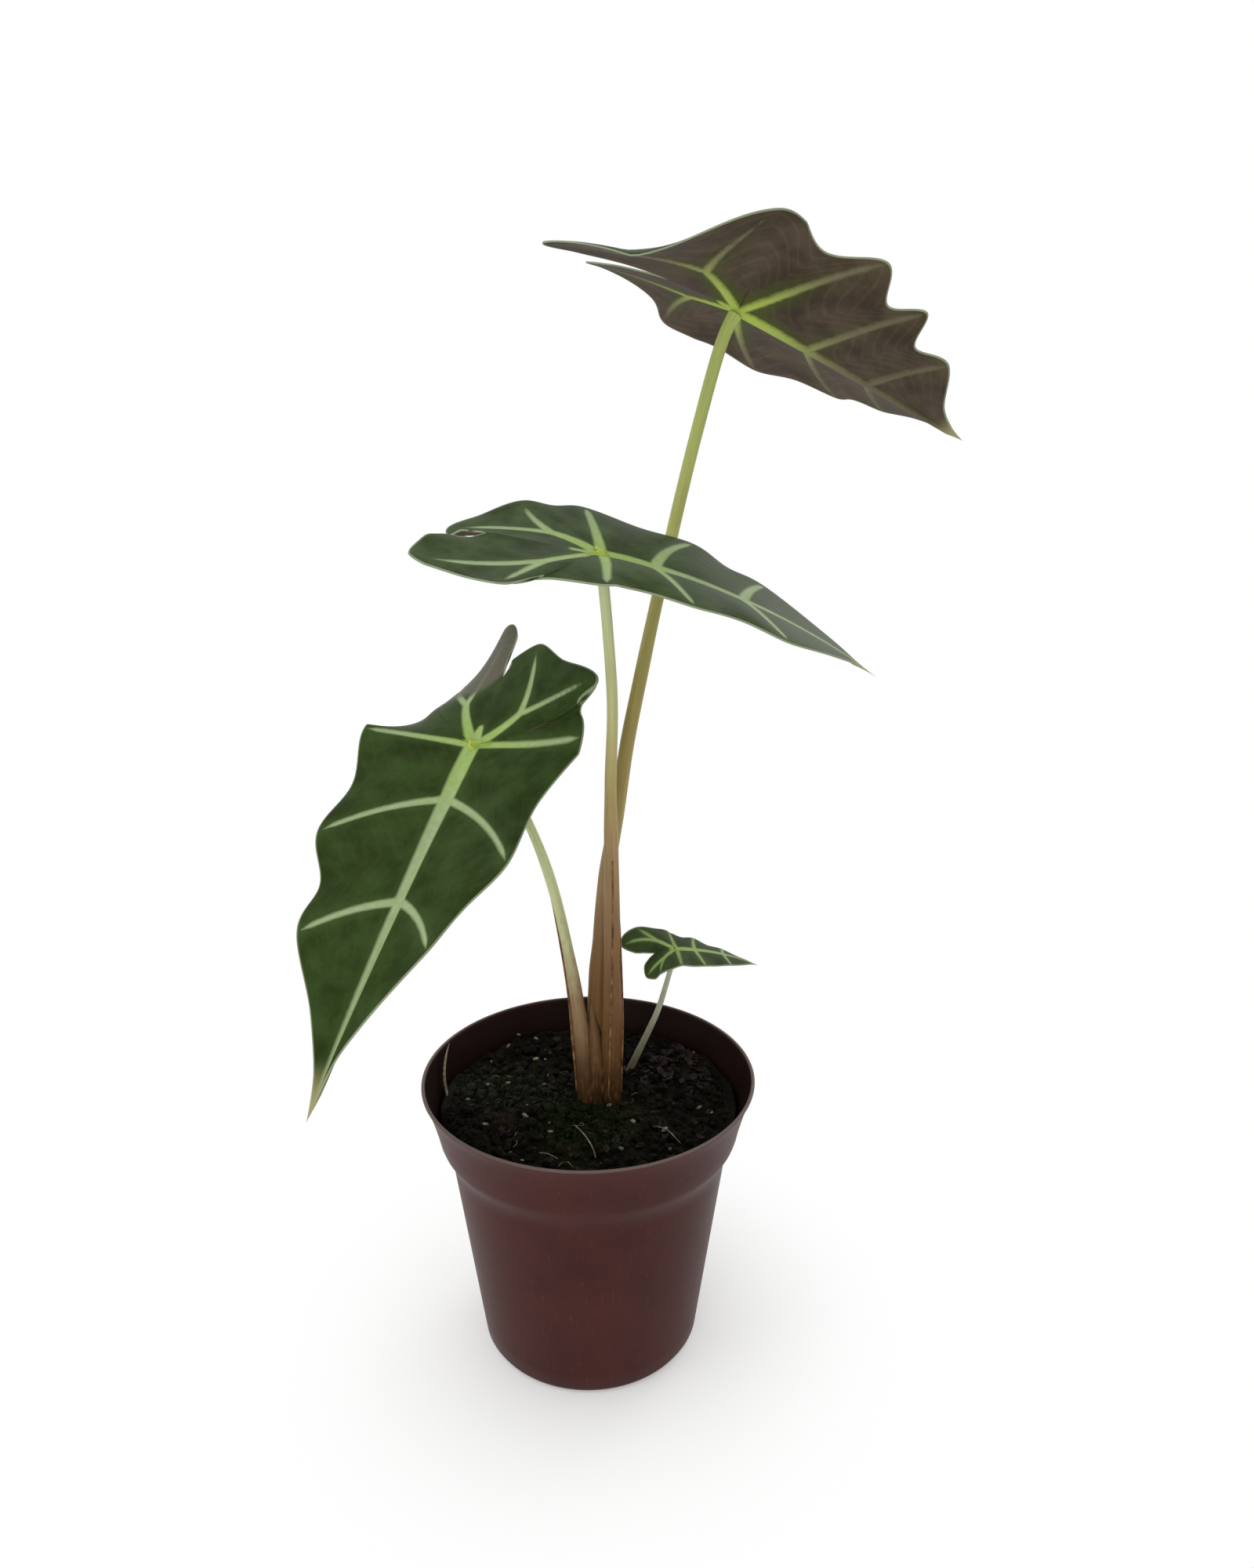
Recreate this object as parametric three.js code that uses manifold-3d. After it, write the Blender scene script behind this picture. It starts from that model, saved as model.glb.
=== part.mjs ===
// Potted alocasia: four arrow-shaped leaves on long stalks, in a round plastic
// nursery pot filled with soil. Millimetres, +Z up, origin at the centre of the
// flat underside of the pot. The widest leaf points towards -X and -Y.

import * as THREE from "three";
import { mergeVertices } from "three/addons/utils/BufferGeometryUtils.js";
import Module from "manifold-3d";

const wasm = await Module();
wasm.setup();

// Clearance kept between neighbouring solids, and the finest detail kept after a cut
const gap = 0.3;
const mergeTolerance = 0.03;

// Pot
const potHeight = 105;
const lipRadius = 60;
const lipHeight = 2;
const collarTopRadius = 56.5;
const collarBottomRadius = 54;
const collarHeight = 22;
const shoulderHeight = 4;
const bodyTopRadius = 50.5;
const footRadius = 40;
const footRound = 2.5;
const potWall = 1;
const potFloor = 3.4;
const recessDepth = 2;
const recessInner = 15;
const recessOuter = 34;
const drainRadius = 4;
const drainCircle = 25;
const drainCount = 6;
const potSides = 60;

// Soil
const soilTop = 94;
const soilSides = 48;
const soilRings = 8;
const soilRoughness = 0.8;

// Leaf blades
const bladeThickness = 0.9;
const edgeThickness = 0.65;
const midribDepth = 1.7;
const midribTipDepth = 0.4;
const veinDepth = 0.9;
const veinEndDepth = 0.25;
const bladeColumns = [0, 0.035, 0.1, 0.22, 0.38, 0.56, 0.74, 0.88, 1];
const smallColumns = [0, 0.06, 0.25, 0.5, 0.8, 1];
const smallLeafLength = 50;

// Each leaf lies in its own flat pattern first: y runs along the midrib from the
// stalk towards the tip, x runs out from the midrib on either side. Both halves
// give the tips of the back lobe, the shoulder and three side veins, which start
// at the same distances along the midrib. Inner gives the two inner widths of the lobe,
// as shares of its own; notches are the depths of the hollows between the vein tips.
// The tail gives the half width and the distance back from the tip. Fold and arch are
// in degrees, at the back lobe, at the stalk and at the tip.
const leaves = {
  left: {
    length: 131,
    sinus: 31.4,
    veinStarts: [0, 23, 61.5],
    wave: 1.6,
    junction: [-38.1, 5.1, 225.7],
    heading: 249.1,
    pitch: -36,
    roll: 9.4,
    droop: 11.8,
    turn: 6.6,
    inner: [0.22, 0.25],
    right: {
      lobe: [8.4, -54],
      shoulder: [41, -34.6],
      bulge: [-4.2, -1],
      laterals: [[39.3, 2], [35.1, 46.4], [25.9, 80.4]],
      notches: [4.6, 2.2, 2.4],
      tail: [[12.4, 29.3], [4, 14]],
      fold: [-52.5, 18.5, 27.5],
      arch: [-55.7, -5.9, -3.1],
      lift: -38.8,
    },
    left: {
      lobe: [15.9, -39.4],
      shoulder: [46.3, -18.6],
      bulge: [-0.8, 0.2],
      laterals: [[40.7, -4.3], [38, 48.7], [27.5, 79.6]],
      notches: [5.6, 6.2, 3.7],
      tail: [[12.5, 28.5], [4.1, 14.1]],
      fold: [58.8, -8.9, 48.3],
      arch: [-17.7, -0.6, -40],
      lift: 22.9,
    },
  },
  middle: {
    length: 95.5,
    sinus: 35.3,
    veinStarts: [0, 16.5, 46],
    wave: 0.5,
    junction: [6.3, -20.9, 290.9],
    heading: 9.8,
    pitch: -12.5,
    roll: -13.7,
    droop: 24,
    turn: 2.6,
    inner: [0.2, 0.26],
    right: {
      lobe: [27.1, -52.2],
      shoulder: [37.9, -29.1],
      bulge: [-1.6, -0.6],
      laterals: [[34.3, -2.4], [32.7, 25.4], [26.9, 58.2]],
      notches: [9.1, 2.7, 4],
      tail: [[12.3, 18.1], [3.5, 8]],
      fold: [-55.4, -13.4, -19.3],
      arch: [32.5, -18.6, -19.9],
      lift: -8.9,
    },
    left: {
      lobe: [17.5, -44.8],
      shoulder: [34.8, -21.7],
      bulge: [0.7, -1.1],
      laterals: [[38.8, -2.3], [35.8, 32.2], [25.7, 55.8]],
      notches: [-0.1, 1.1, 1.5],
      tail: [[13.5, 17.9], [3.5, 8]],
      fold: [12.4, 35.2, 21.4],
      arch: [38.2, -7.3, 10.9],
      lift: 11,
    },
  },
  top: {
    length: 88,
    sinus: 25.5,
    veinStarts: [0, 26.5, 50],
    wave: 0.6,
    junction: [49.8, 30, 365],
    heading: 12,
    pitch: -25,
    roll: 2,
    droop: 5,
    turn: 15,
    inner: [0.19, 0.44],
    right: {
      lobe: [15.5, -66.5],
      shoulder: [47.5, -10.5],
      bulge: [11, 2.5],
      laterals: [[47.5, 28.5], [42.5, 48.5], [31, 65.5]],
      notches: [7.5, 7.5, 7.5],
      tail: [[12, 13], [4, 6.5]],
      fold: [9, 14, 17],
      arch: [-9.5, 27, 1],
      lift: 12.5,
    },
    left: {
      lobe: [14, -49],
      shoulder: [47, -12.5],
      bulge: [-0.5, 7],
      laterals: [[48.5, 23.5], [41, 50.5], [31, 65]],
      notches: [6, 6, 6],
      tail: [[13, 15], [4.5, 7.5]],
      fold: [7, 1.5, 9.5],
      arch: [-16.5, -15, -12],
      lift: 14,
    },
  },
  small: {
    length: 32.5,
    sinus: 8.5,
    veinStarts: [0, 7, 18],
    wave: 0.3,
    junction: [32, 17, 145.5],
    heading: 10,
    pitch: -5,
    roll: -11.5,
    droop: 21,
    turn: -3.5,
    inner: [0.19, 0.44],
    right: {
      lobe: [8, -16.5],
      shoulder: [11.5, -10.5],
      bulge: [1, -0.5],
      laterals: [[12, -0.5], [11, 9], [7, 20]],
      notches: [0.4, 0.4, 0.4],
      tail: [[3.5, 6.5], [1.2, 2.5]],
      fold: [-22, -11.5, -19],
      arch: [-11.5, -11, -11.5],
      lift: 36,
    },
    left: {
      lobe: [8, -16.5],
      shoulder: [11.5, -10.5],
      bulge: [1.5, -1],
      laterals: [[12, -0.5], [11, 9], [7, 20]],
      notches: [0.4, 0.4, 0.4],
      tail: [[3.5, 6.5], [1.2, 2.5]],
      fold: [66, 14, 0],
      arch: [5.5, 5, -9.5],
      lift: 31.5,
    },
  },
};

// Stalks from the foot in the soil up to the leaf: x, y, z and radius
const stalks = {
  top: [
    [4.5, 6, 72, 4.2], [4.5, 6, 94, 4.5], [4, 6, 123, 4.5], [4.2, 6.5, 140, 4.1],
    [5.3, 7.2, 156, 3.5], [6.3, 8.6, 175, 2.8], [10.2, 10.8, 199, 2.6], [13.9, 14, 224, 2.5],
    [18.2, 18, 245, 2.4], [23.8, 22, 271, 2.2], [36.7, 27.5, 326, 2.1], [45.9, 29.5, 358, 2.1],
    [49.8, 30, 365, 2.4],
  ],
  middle: [
    [7.8, 0.2, 72, 3.8], [7.8, 0.2, 97, 3.9], [8.6, 0, 126, 3.7], [8.7, 0.3, 156, 2.9],
    [8.5, 0.5, 193, 2.5], [8.4, -2.5, 214, 2], [9.2, -9, 243, 1.8], [7.9, -17, 269, 1.7],
    [6.8, -20.2, 283, 1.7], [6.3, -20.9, 290.9, 1.8],
  ],
  left: [
    [-0.2, 0.6, 72, 3.4], [-0.6, 0.6, 97, 3.6], [-2.2, 2, 116, 3.3], [-4.6, 4.2, 134, 2.6],
    [-8, 8, 153, 2], [-13.4, 12, 175, 1.9], [-20, 14.5, 193, 1.7], [-27.5, 13.5, 209, 1.7],
    [-34, 9, 220, 1.8], [-38.1, 5.1, 225.7, 1.9],
  ],
  small: [
    [10.5, 19.5, 82, 1.4], [14.8, 19.5, 94, 1.4], [22, 19.2, 111, 1.2], [25.5, 18.8, 120, 1.1],
    [30, 18, 137, 0.95], [32, 17, 145.5, 0.9],
  ],
};
const stalkSides = 12;
const stalkStep = 8;

// Materials
const finish = (colour, roughness) => new THREE.MeshStandardMaterial({ color: colour, roughness, metalness: 0 });
const potPlastic = finish(0x4a2b29, 0.45);
const soilMatter = finish(0x1f1a14, 1);
const stalkTan = finish(0x9c8a5c, 0.5);
const stalkGreen = finish(0xa9b878, 0.5);
const bladeGreen = finish(0x2d3f22, 0.45);
const bladeDark = finish(0x4a4038, 0.5);

// Shared geometry

// One closed body from a geometry: corners merged, empty triangles dropped, faces turned out
function tidyBody(geometry) {
  const source = geometry.clone();
  source.deleteAttribute("normal");
  source.deleteAttribute("uv");
  const merged = mergeVertices(source, 1e-4);
  const index = Array.from(merged.index.array);
  const position = merged.attributes.position;
  const kept = [];
  for (let i = 0; i < index.length; i += 3) {
    const [a, b, c] = index.slice(i, i + 3);
    if (a !== b && b !== c && c !== a) kept.push(a, b, c);
  }
  const corner = (i) => new THREE.Vector3().fromBufferAttribute(position, i);
  let volume = 0;
  for (let i = 0; i < kept.length; i += 3) {
    volume += corner(kept[i]).dot(corner(kept[i + 1]).cross(corner(kept[i + 2])));
  }
  if (volume < 0) {
    for (let i = 0; i < kept.length; i += 3) [kept[i], kept[i + 1]] = [kept[i + 1], kept[i]];
  }
  merged.setIndex(kept);
  return merged;
}

function toSolid(geometry) {
  const body = tidyBody(geometry);
  const vertProperties = Float32Array.from(body.attributes.position.array);
  const triVerts = Uint32Array.from(body.index.array);
  return new wasm.Manifold(new wasm.Mesh({ numProp: 3, vertProperties, triVerts }));
}

// Edges shorter than the merging tolerance are closed up, so no sliver is left by a cut
function toGeometry(solid) {
  const mesh = solid.asOriginal().simplify(mergeTolerance).getMesh();
  const geometry = new THREE.BufferGeometry();
  geometry.setAttribute("position", new THREE.Float32BufferAttribute(mesh.vertProperties, 3));
  geometry.setIndex(Array.from(mesh.triVerts));
  return geometry;
}

// The largest separate piece of a solid, which leaves out any scrap of a cut
function mainPiece(solid) {
  return solid.decompose().sort((a, b) => b.volume() - a.volume())[0];
}

function part(name, geometry, material) {
  const shaded = tidyBody(geometry);
  shaded.computeVertexNormals();
  const mesh = new THREE.Mesh(shaded, material);
  mesh.name = name;
  return mesh;
}

const radians = (degrees) => THREE.MathUtils.degToRad(degrees);
const mix = (a, b, share) => a + (b - a) * share;
const clampTo = (value, low, high) => Math.min(Math.max(value, low), high);

// Pot: thin blow-moulded wall with a turned-out lip, a collar and a shoulder,
// on a flat foot ring and a flat centre, with drain holes in the recess between

function potRadius(z) {
  const collarFoot = potHeight - collarHeight;
  const bodyTop = collarFoot - shoulderHeight;
  if (z > collarFoot) return mix(collarBottomRadius, collarTopRadius, (z - collarFoot) / collarHeight);
  if (z > bodyTop) return mix(bodyTopRadius, collarBottomRadius, (z - bodyTop) / shoulderHeight);
  return mix(footRadius, bodyTopRadius, z / bodyTop);
}

function buildPot() {
  const collarFoot = potHeight - collarHeight;
  const bodyTop = collarFoot - shoulderHeight;
  const lipFoot = potHeight - lipHeight;
  const outline = [
    [0, 0], [recessInner, 0], [recessInner + 1, recessDepth], [recessOuter - 1, recessDepth],
    [recessOuter, 0], [footRadius - footRound, 0], [footRadius - footRound * 0.3, footRound * 0.3],
    [potRadius(footRound), footRound], [potRadius(bodyTop), bodyTop],
    [potRadius(collarFoot), collarFoot], [potRadius(lipFoot - 3), lipFoot - 3],
    [lipRadius - 2.3, lipFoot - 0.6], [lipRadius - 0.4, lipFoot], [lipRadius, lipFoot + 0.5],
    [lipRadius, potHeight - 0.6], [lipRadius - 0.6, potHeight],
    [collarTopRadius - 0.2, potHeight], [collarTopRadius - potWall, potHeight - 0.8],
    [potRadius(collarFoot) - potWall, collarFoot], [potRadius(bodyTop) - potWall, bodyTop],
    [potRadius(potFloor + 2) - potWall, potFloor + 2], [potRadius(0) - potWall - 1.6, potFloor],
    [0, potFloor],
  ];
  const shell = new THREE.LatheGeometry(outline.map(([r, z]) => new THREE.Vector2(r, z)), potSides);
  shell.rotateX(Math.PI / 2);
  let pot = toSolid(shell);
  for (let i = 0; i < drainCount; i += 1) {
    const angle = (i + 0.5) * 2 * Math.PI / drainCount;
    const hole = new THREE.CylinderGeometry(drainRadius, drainRadius, potFloor + 4, 20);
    hole.rotateX(Math.PI / 2);
    hole.translate(Math.cos(angle) * drainCircle, Math.sin(angle) * drainCircle, potFloor / 2);
    pot = pot.subtract(toSolid(hole));
  }
  return part("pot", toGeometry(pot), potPlastic);
}

// Stalk: a tapering round stem through its stations, with a flat foot and end

function stalkGeometry(stations, extra) {
  const points = stations.map(([x, y, z]) => new THREE.Vector3(x, y, z));
  const curve = new THREE.CatmullRomCurve3(points, false, "centripetal");
  const steps = Math.round(curve.getLength() / stalkStep);
  const stationShare = points.map((_, i) => i / (points.length - 1));
  const rings = [];
  const reference = new THREE.Vector3(1, 0, 0);
  for (let i = 0; i <= steps; i += 1) {
    const share = i / steps;
    const centre = curve.getPoint(share);
    const along = curve.getTangent(share);
    const k = Math.min(stationShare.filter((s) => s <= share).length - 1, points.length - 2);
    const within = (share - stationShare[k]) / (stationShare[k + 1] - stationShare[k]);
    const radius = mix(stations[k][3], stations[k + 1][3], within) + extra;
    const across = reference.clone().addScaledVector(along, -reference.dot(along)).normalize();
    const other = along.clone().cross(across);
    if (i === 0) centre.addScaledVector(along, -extra);
    if (i === steps) centre.addScaledVector(along, extra);
    const ring = [];
    for (let j = 0; j < stalkSides; j += 1) {
      const angle = j * 2 * Math.PI / stalkSides;
      ring.push(centre.clone().addScaledVector(across, Math.cos(angle) * radius)
        .addScaledVector(other, Math.sin(angle) * radius));
    }
    rings.push({ ring, centre });
  }
  const corners = [];
  rings.forEach(({ ring }) => ring.forEach((p) => corners.push(p)));
  const foot = corners.push(rings[0].centre) - 1;
  const head = corners.push(rings[steps].centre) - 1;
  const faces = [];
  for (let j = 0; j < stalkSides; j += 1) {
    const next = (j + 1) % stalkSides;
    for (let i = 0; i < steps; i += 1) {
      const a = i * stalkSides + j;
      const b = i * stalkSides + next;
      faces.push(a, b, b + stalkSides, a, b + stalkSides, a + stalkSides);
    }
    faces.push(foot, next, j);
    faces.push(head, steps * stalkSides + j, steps * stalkSides + next);
  }
  return indexed(corners, faces);
}

function indexed(corners, faces) {
  const geometry = new THREE.BufferGeometry();
  geometry.setAttribute("position", new THREE.Float32BufferAttribute(corners.flatMap((p) => [p.x, p.y, p.z]), 3));
  geometry.setIndex(faces);
  return geometry;
}

// Leaf blade

// Rows of the flat pattern on one side: start on the midrib, then x and y at the margin
function ribRows(leaf, half) {
  const { length, sinus } = leaf;
  const [lobeX, lobeY] = half.lobe;
  const rows = [
    [-sinus, 0, -sinus],
    [-sinus * 0.8, lobeX * leaf.inner[0], mix(-sinus, lobeY, 0.35)],
    [-sinus * 0.5, lobeX * leaf.inner[1], mix(-sinus, lobeY, 0.75)],
    [0, lobeX, lobeY],
  ];
  let previous = rows[3];
  const veins = [[0, ...half.shoulder], ...half.laterals.map((tip, i) => [leaf.veinStarts[i], ...tip])];
  veins.forEach((vein, i) => {
    const middle = [0, 1, 2].map((k) => (previous[k] + vein[k]) / 2);
    if (i === 0) {
      middle[1] += half.bulge[0];
      middle[2] += half.bulge[1];
    } else {
      const runX = vein[1] - previous[1];
      const runY = vein[2] - previous[2];
      const run = Math.hypot(runX, runY);
      middle[1] -= runY / run * half.notches[i - 1];
      middle[2] += runX / run * half.notches[i - 1];
    }
    rows.push(middle, vein);
    previous = vein;
  });
  rows.push([length * 0.8, half.tail[0][0], length - half.tail[0][1]]);
  rows.push([length * 0.93, half.tail[1][0], length - half.tail[1][1]]);
  rows.push([length, 0, length]);
  return rows;
}

// Smooth value between the rows, so the margin runs in one curve through all of them
function betweenRows(rows, t) {
  const last = rows.length - 1;
  const i = clampTo(Math.floor(t), 0, last - 1);
  const f = t - i;
  const before = rows[Math.max(i - 1, 0)];
  const from = rows[i];
  const to = rows[i + 1];
  const after = rows[Math.min(i + 2, last)];
  return from.map((value, k) => {
    const slopeFrom = (to[k] - before[k]) / 2;
    const slopeTo = (after[k] - value) / 2;
    const f2 = f * f;
    const f3 = f2 * f;
    return (2 * f3 - 3 * f2 + 1) * value + (f3 - 2 * f2 + f) * slopeFrom
      + (3 * f2 - 2 * f3) * to[k] + (f3 - f2) * slopeTo;
  });
}

// Flat position at row t and share w of the way from the midrib to the margin
function flatPoint(rows, t, w) {
  const [start, marginX, marginY] = betweenRows(rows, t);
  const reachX = Math.max(marginX, 0);
  const reachY = marginY - start;
  const early = 2 * w * (1 - w);
  return [early * 0.58 * reachX + w * w * reachX, start + (early * (reachY > 0 ? 0.3 : 0.42) + w * w) * reachY];
}

// The leaf's own directions: along the midrib, out to its right, and up from its face
function leafAxes(leaf) {
  const heading = radians(leaf.heading);
  const pitch = radians(leaf.pitch);
  const roll = radians(leaf.roll);
  const along = new THREE.Vector3(
    Math.cos(pitch) * Math.cos(heading), Math.cos(pitch) * Math.sin(heading), Math.sin(pitch));
  const level = new THREE.Vector3(Math.sin(heading), -Math.cos(heading), 0);
  const upright = level.clone().cross(along);
  const right = level.clone().multiplyScalar(Math.cos(roll)).addScaledVector(upright, -Math.sin(roll));
  const up = upright.clone().multiplyScalar(Math.cos(roll)).addScaledVector(level, Math.sin(roll));
  return { along, right, up };
}

// Place of a flat point on the drooping, folded and arched leaf
function leafPoint(leaf, side, rows, axes, t, w) {
  const half = side > 0 ? leaf.right : leaf.left;
  const { length } = leaf;
  const [x, y] = flatPoint(rows, t, w);
  let forward;
  let height;
  let lean;
  if (y >= 0) {
    const rate = radians(leaf.droop) / length;
    forward = Math.sin(rate * y) / rate;
    height = -(1 - Math.cos(rate * y)) / rate;
    lean = -rate * y;
  } else {
    const level = (leaf.right.lift + leaf.left.lift) / 2;
    const out = clampTo(x / (0.15 * length), 0, 1);
    const lift = mix(level, half.lift, out * out * (3 - 2 * out));
    const rate = radians(lift) / (0.4 * length) + 1e-9;
    forward = Math.sin(rate * y) / rate;
    height = -(1 - Math.cos(rate * y)) / rate;
    lean = -rate * y;
  }
  const toTip = clampTo(y / length, 0, 1);
  const toLobe = clampTo(-y / length, 0, 0.5) / 0.4;
  const shape = ([lobe, stalk, tip]) => stalk + (tip - stalk) * toTip + (lobe - stalk) * toLobe;
  const fold = radians(shape(half.fold));
  const arch = radians(shape(half.arch)) / (0.35 * length) + 1e-9;
  const out = (Math.sin(fold + arch * x) - Math.sin(fold)) / arch;
  let rise = -(Math.cos(fold + arch * x) - Math.cos(fold)) / arch;
  const waving = clampTo((13 - t) / 3, 0, 1) * clampTo((t - 2) / 2, 0, 1);
  rise += leaf.wave * waving * w ** 2.2 * Math.cos(Math.PI * (t - 3));
  const ahead = forward - rise * Math.sin(lean);
  const above = height + rise * Math.cos(lean);
  const rate = radians(leaf.turn) / length;
  const swing = rate * Math.max(ahead, 0);
  const onwards = ahead > 0 ? Math.sin(swing) / rate : ahead;
  const aside = ahead > 0 ? (1 - Math.cos(swing)) / rate : 0;
  return new THREE.Vector3(...leaf.junction)
    .addScaledVector(axes.along, onwards - side * out * Math.sin(swing))
    .addScaledVector(axes.right, aside + side * out * Math.cos(swing))
    .addScaledVector(axes.up, above);
}

// Row positions, closer together beside each vein, where its ridge stands
function rowSteps(rowCount) {
  const isVein = (i) => i % 2 === 1 && i >= 3 && i <= rowCount - 4;
  const steps = [];
  for (let i = 0; i < rowCount - 1; i += 1) {
    if (isVein(i)) steps.push(i, i + 0.06, i + 0.42);
    else if (isVein(i + 1)) steps.push(i, i + 0.58, i + 0.94);
    else steps.push(i, i + 0.5);
  }
  steps.push(rowCount - 1);
  return { steps, isVein };
}

// A thin closed blade: the same net of triangles above and below, joined round the
// margin, with the midrib and the side veins standing out of the underside
function bladeGeometry(leaf) {
  const scale = clampTo(leaf.length / 80, 0.5, 1);
  const columns = leaf.length < smallLeafLength ? smallColumns : bladeColumns;
  const axes = leafAxes(leaf);
  const corners = [];
  const depth = [];
  const thin = [];
  const known = new Map();
  const faces = [];
  const addCorner = (point, ridge, edge) => {
    const key = [point.x, point.y, point.z].map((v) => Math.round(v * 1000)).join(",");
    if (!known.has(key)) {
      known.set(key, corners.length);
      corners.push(point);
      depth.push(ridge);
      thin.push(edge);
    }
    return known.get(key);
  };
  for (const side of [1, -1]) {
    const rows = ribRows(leaf, side > 0 ? leaf.right : leaf.left);
    const { steps, isVein } = rowSteps(rows.length);
    const net = steps.map((t) => columns.map((w) => {
      const start = betweenRows(rows, t)[0];
      let ridge = 0;
      if (w === 0) {
        ridge = start >= 0
          ? mix(midribDepth, midribTipDepth, start / leaf.length)
          : mix(midribDepth, 0.1, clampTo(-start / leaf.sinus * 1.5, 0, 1));
      } else if (isVein(t) && w < 0.95) {
        ridge = mix(veinDepth, veinEndDepth, w);
      }
      const point = leafPoint(leaf, side, rows, axes, t, w);
      return addCorner(point, ridge * scale, clampTo((w - 0.7) / 0.3, 0, 1));
    }));
    for (let i = 0; i < net.length - 1; i += 1) {
      for (let j = 0; j < columns.length - 1; j += 1) {
        const a = net[i][j];
        const b = net[i + 1][j];
        const c = net[i + 1][j + 1];
        const d = net[i][j + 1];
        const pair = [[a, d, c], [a, c, b]];
        pair.forEach((face) => {
          const [p, q, r] = side > 0 ? face : [face[0], face[2], face[1]];
          if (p !== q && q !== r && r !== p) faces.push([p, q, r]);
        });
      }
    }
  }
  // Face directions at the corners, weighted by area
  const normals = corners.map(() => new THREE.Vector3());
  faces.forEach(([a, b, c]) => {
    const across = corners[b].clone().sub(corners[a]).cross(corners[c].clone().sub(corners[a]));
    [a, b, c].forEach((k) => normals[k].add(across));
  });
  normals.forEach((n) => n.normalize());
  const turned = normals.reduce((sum, n) => sum + n.dot(axes.up), 0) < 0;
  if (turned) {
    normals.forEach((n) => n.negate());
    faces.forEach((face) => face.reverse());
  }
  const count = corners.length;
  const thickness = thin.map((edge) => mix(bladeThickness, edgeThickness, edge) * mix(scale, 1, 0.5));
  const above = corners.map((p, k) => p.clone().addScaledVector(normals[k], thickness[k] / 2));
  const below = corners.map((p, k) => p.clone().addScaledVector(normals[k], -thickness[k] / 2 - depth[k]));
  const joined = [];
  const edges = new Map();
  faces.forEach(([a, b, c]) => {
    joined.push(a, b, c, a + count, c + count, b + count);
    [[a, b], [b, c], [c, a]].forEach(([p, q]) => edges.set(p + "," + q, [p, q]));
  });
  edges.forEach(([p, q]) => {
    if (!edges.has(q + "," + p)) joined.push(q, p, p + count, q, p + count, q + count);
  });
  return indexed([...above, ...below], joined);
}

// Soil: a rough round top, a side that follows the pot's wall and a flat bottom

function soilHeight(x, y) {
  const rough = Math.sin(x * 0.31 + 1.3) * Math.cos(y * 0.27 - 0.4) + 0.6 * Math.sin(x * 0.11 - y * 0.19 + 2)
    + 0.5 * Math.cos(x * 0.53 + y * 0.47);
  return soilTop + soilRoughness * rough;
}

function soilGeometry() {
  const corners = [];
  const faces = [];
  const wallRadius = (z) => potRadius(z) - potWall - gap;
  const bottom = potFloor + gap;
  const collarFoot = potHeight - collarHeight;
  const bodyTop = collarFoot - shoulderHeight;
  const sideHeights = [collarFoot + 1, collarFoot - 0.3, bodyTop - 0.3, 40, potFloor + 4];
  const ringAt = (radius, height) => {
    const first = corners.length;
    for (let j = 0; j < soilSides; j += 1) {
      const angle = j * 2 * Math.PI / soilSides;
      const x = Math.cos(angle) * radius;
      const y = Math.sin(angle) * radius;
      corners.push(new THREE.Vector3(x, y, height === null ? soilHeight(x, y) : height));
    }
    return first;
  };
  const rings = [];
  for (let i = 1; i <= soilRings; i += 1) {
    rings.push(ringAt(wallRadius(soilTop - 3) * i / soilRings, null));
  }
  sideHeights.forEach((z) => rings.push(ringAt(wallRadius(z) - (z > collarFoot ? 0 : 0.15), z)));
  rings.push(ringAt(wallRadius(bottom) - 2.2, bottom));
  const crown = corners.push(new THREE.Vector3(0, 0, soilHeight(0, 0))) - 1;
  const base = corners.push(new THREE.Vector3(0, 0, bottom)) - 1;
  for (let j = 0; j < soilSides; j += 1) {
    const next = (j + 1) % soilSides;
    faces.push(crown, rings[0] + j, rings[0] + next);
    for (let i = 0; i < rings.length - 1; i += 1) {
      faces.push(rings[i] + j, rings[i + 1] + j, rings[i + 1] + next);
      faces.push(rings[i] + j, rings[i + 1] + next, rings[i] + next);
    }
    faces.push(base, rings[rings.length - 1] + next, rings[rings.length - 1] + j);
  }
  return indexed(corners, faces);
}

// Assembly

const plant = new THREE.Group();
plant.name = "potted_alocasia";
plant.add(buildPot());

const bladeMaterial = { top: bladeDark, middle: bladeGreen, left: bladeGreen, small: bladeGreen };
const stalkMaterial = { top: stalkGreen, middle: stalkTan, left: stalkGreen, small: stalkGreen };

// The rear stalk is whole, and the sheaths of the others wrap round it
const wrapped = { top: [], middle: ["top"], left: ["top", "middle"], small: [] };
const fatStalk = {};
Object.keys(stalks).forEach((name) => {
  fatStalk[name] = toSolid(stalkGeometry(stalks[name], gap));
});
const blades = {};
Object.keys(leaves).forEach((name) => {
  blades[name] = bladeGeometry(leaves[name]);
});

// Each stalk ends in a flat face just under the lowest part of its blade's junction
function stalkEnd(name) {
  const up = leafAxes(leaves[name]).up;
  const junction = new THREE.Vector3(...leaves[name].junction);
  const reach = stalks[name][stalks[name].length - 1][3] + 1;
  const corner = new THREE.Vector3();
  const position = blades[name].attributes.position;
  let lowest = 0;
  for (let i = 0; i < position.count; i += 1) {
    corner.fromBufferAttribute(position, i).sub(junction);
    const height = corner.dot(up);
    if (corner.addScaledVector(up, -height).length() < reach) lowest = Math.min(lowest, height);
  }
  return { down: up.clone().negate(), offset: -up.dot(junction) - lowest + gap };
}

Object.keys(stalks).forEach((name) => {
  let stalk = toSolid(stalkGeometry(stalks[name], 0));
  wrapped[name].forEach((inner) => {
    stalk = stalk.subtract(fatStalk[inner]);
  });
  const { down, offset } = stalkEnd(name);
  stalk = mainPiece(stalk.trimByPlane(down.toArray(), offset));
  plant.add(part("petiole_" + name, toGeometry(stalk), stalkMaterial[name]));
});

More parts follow.
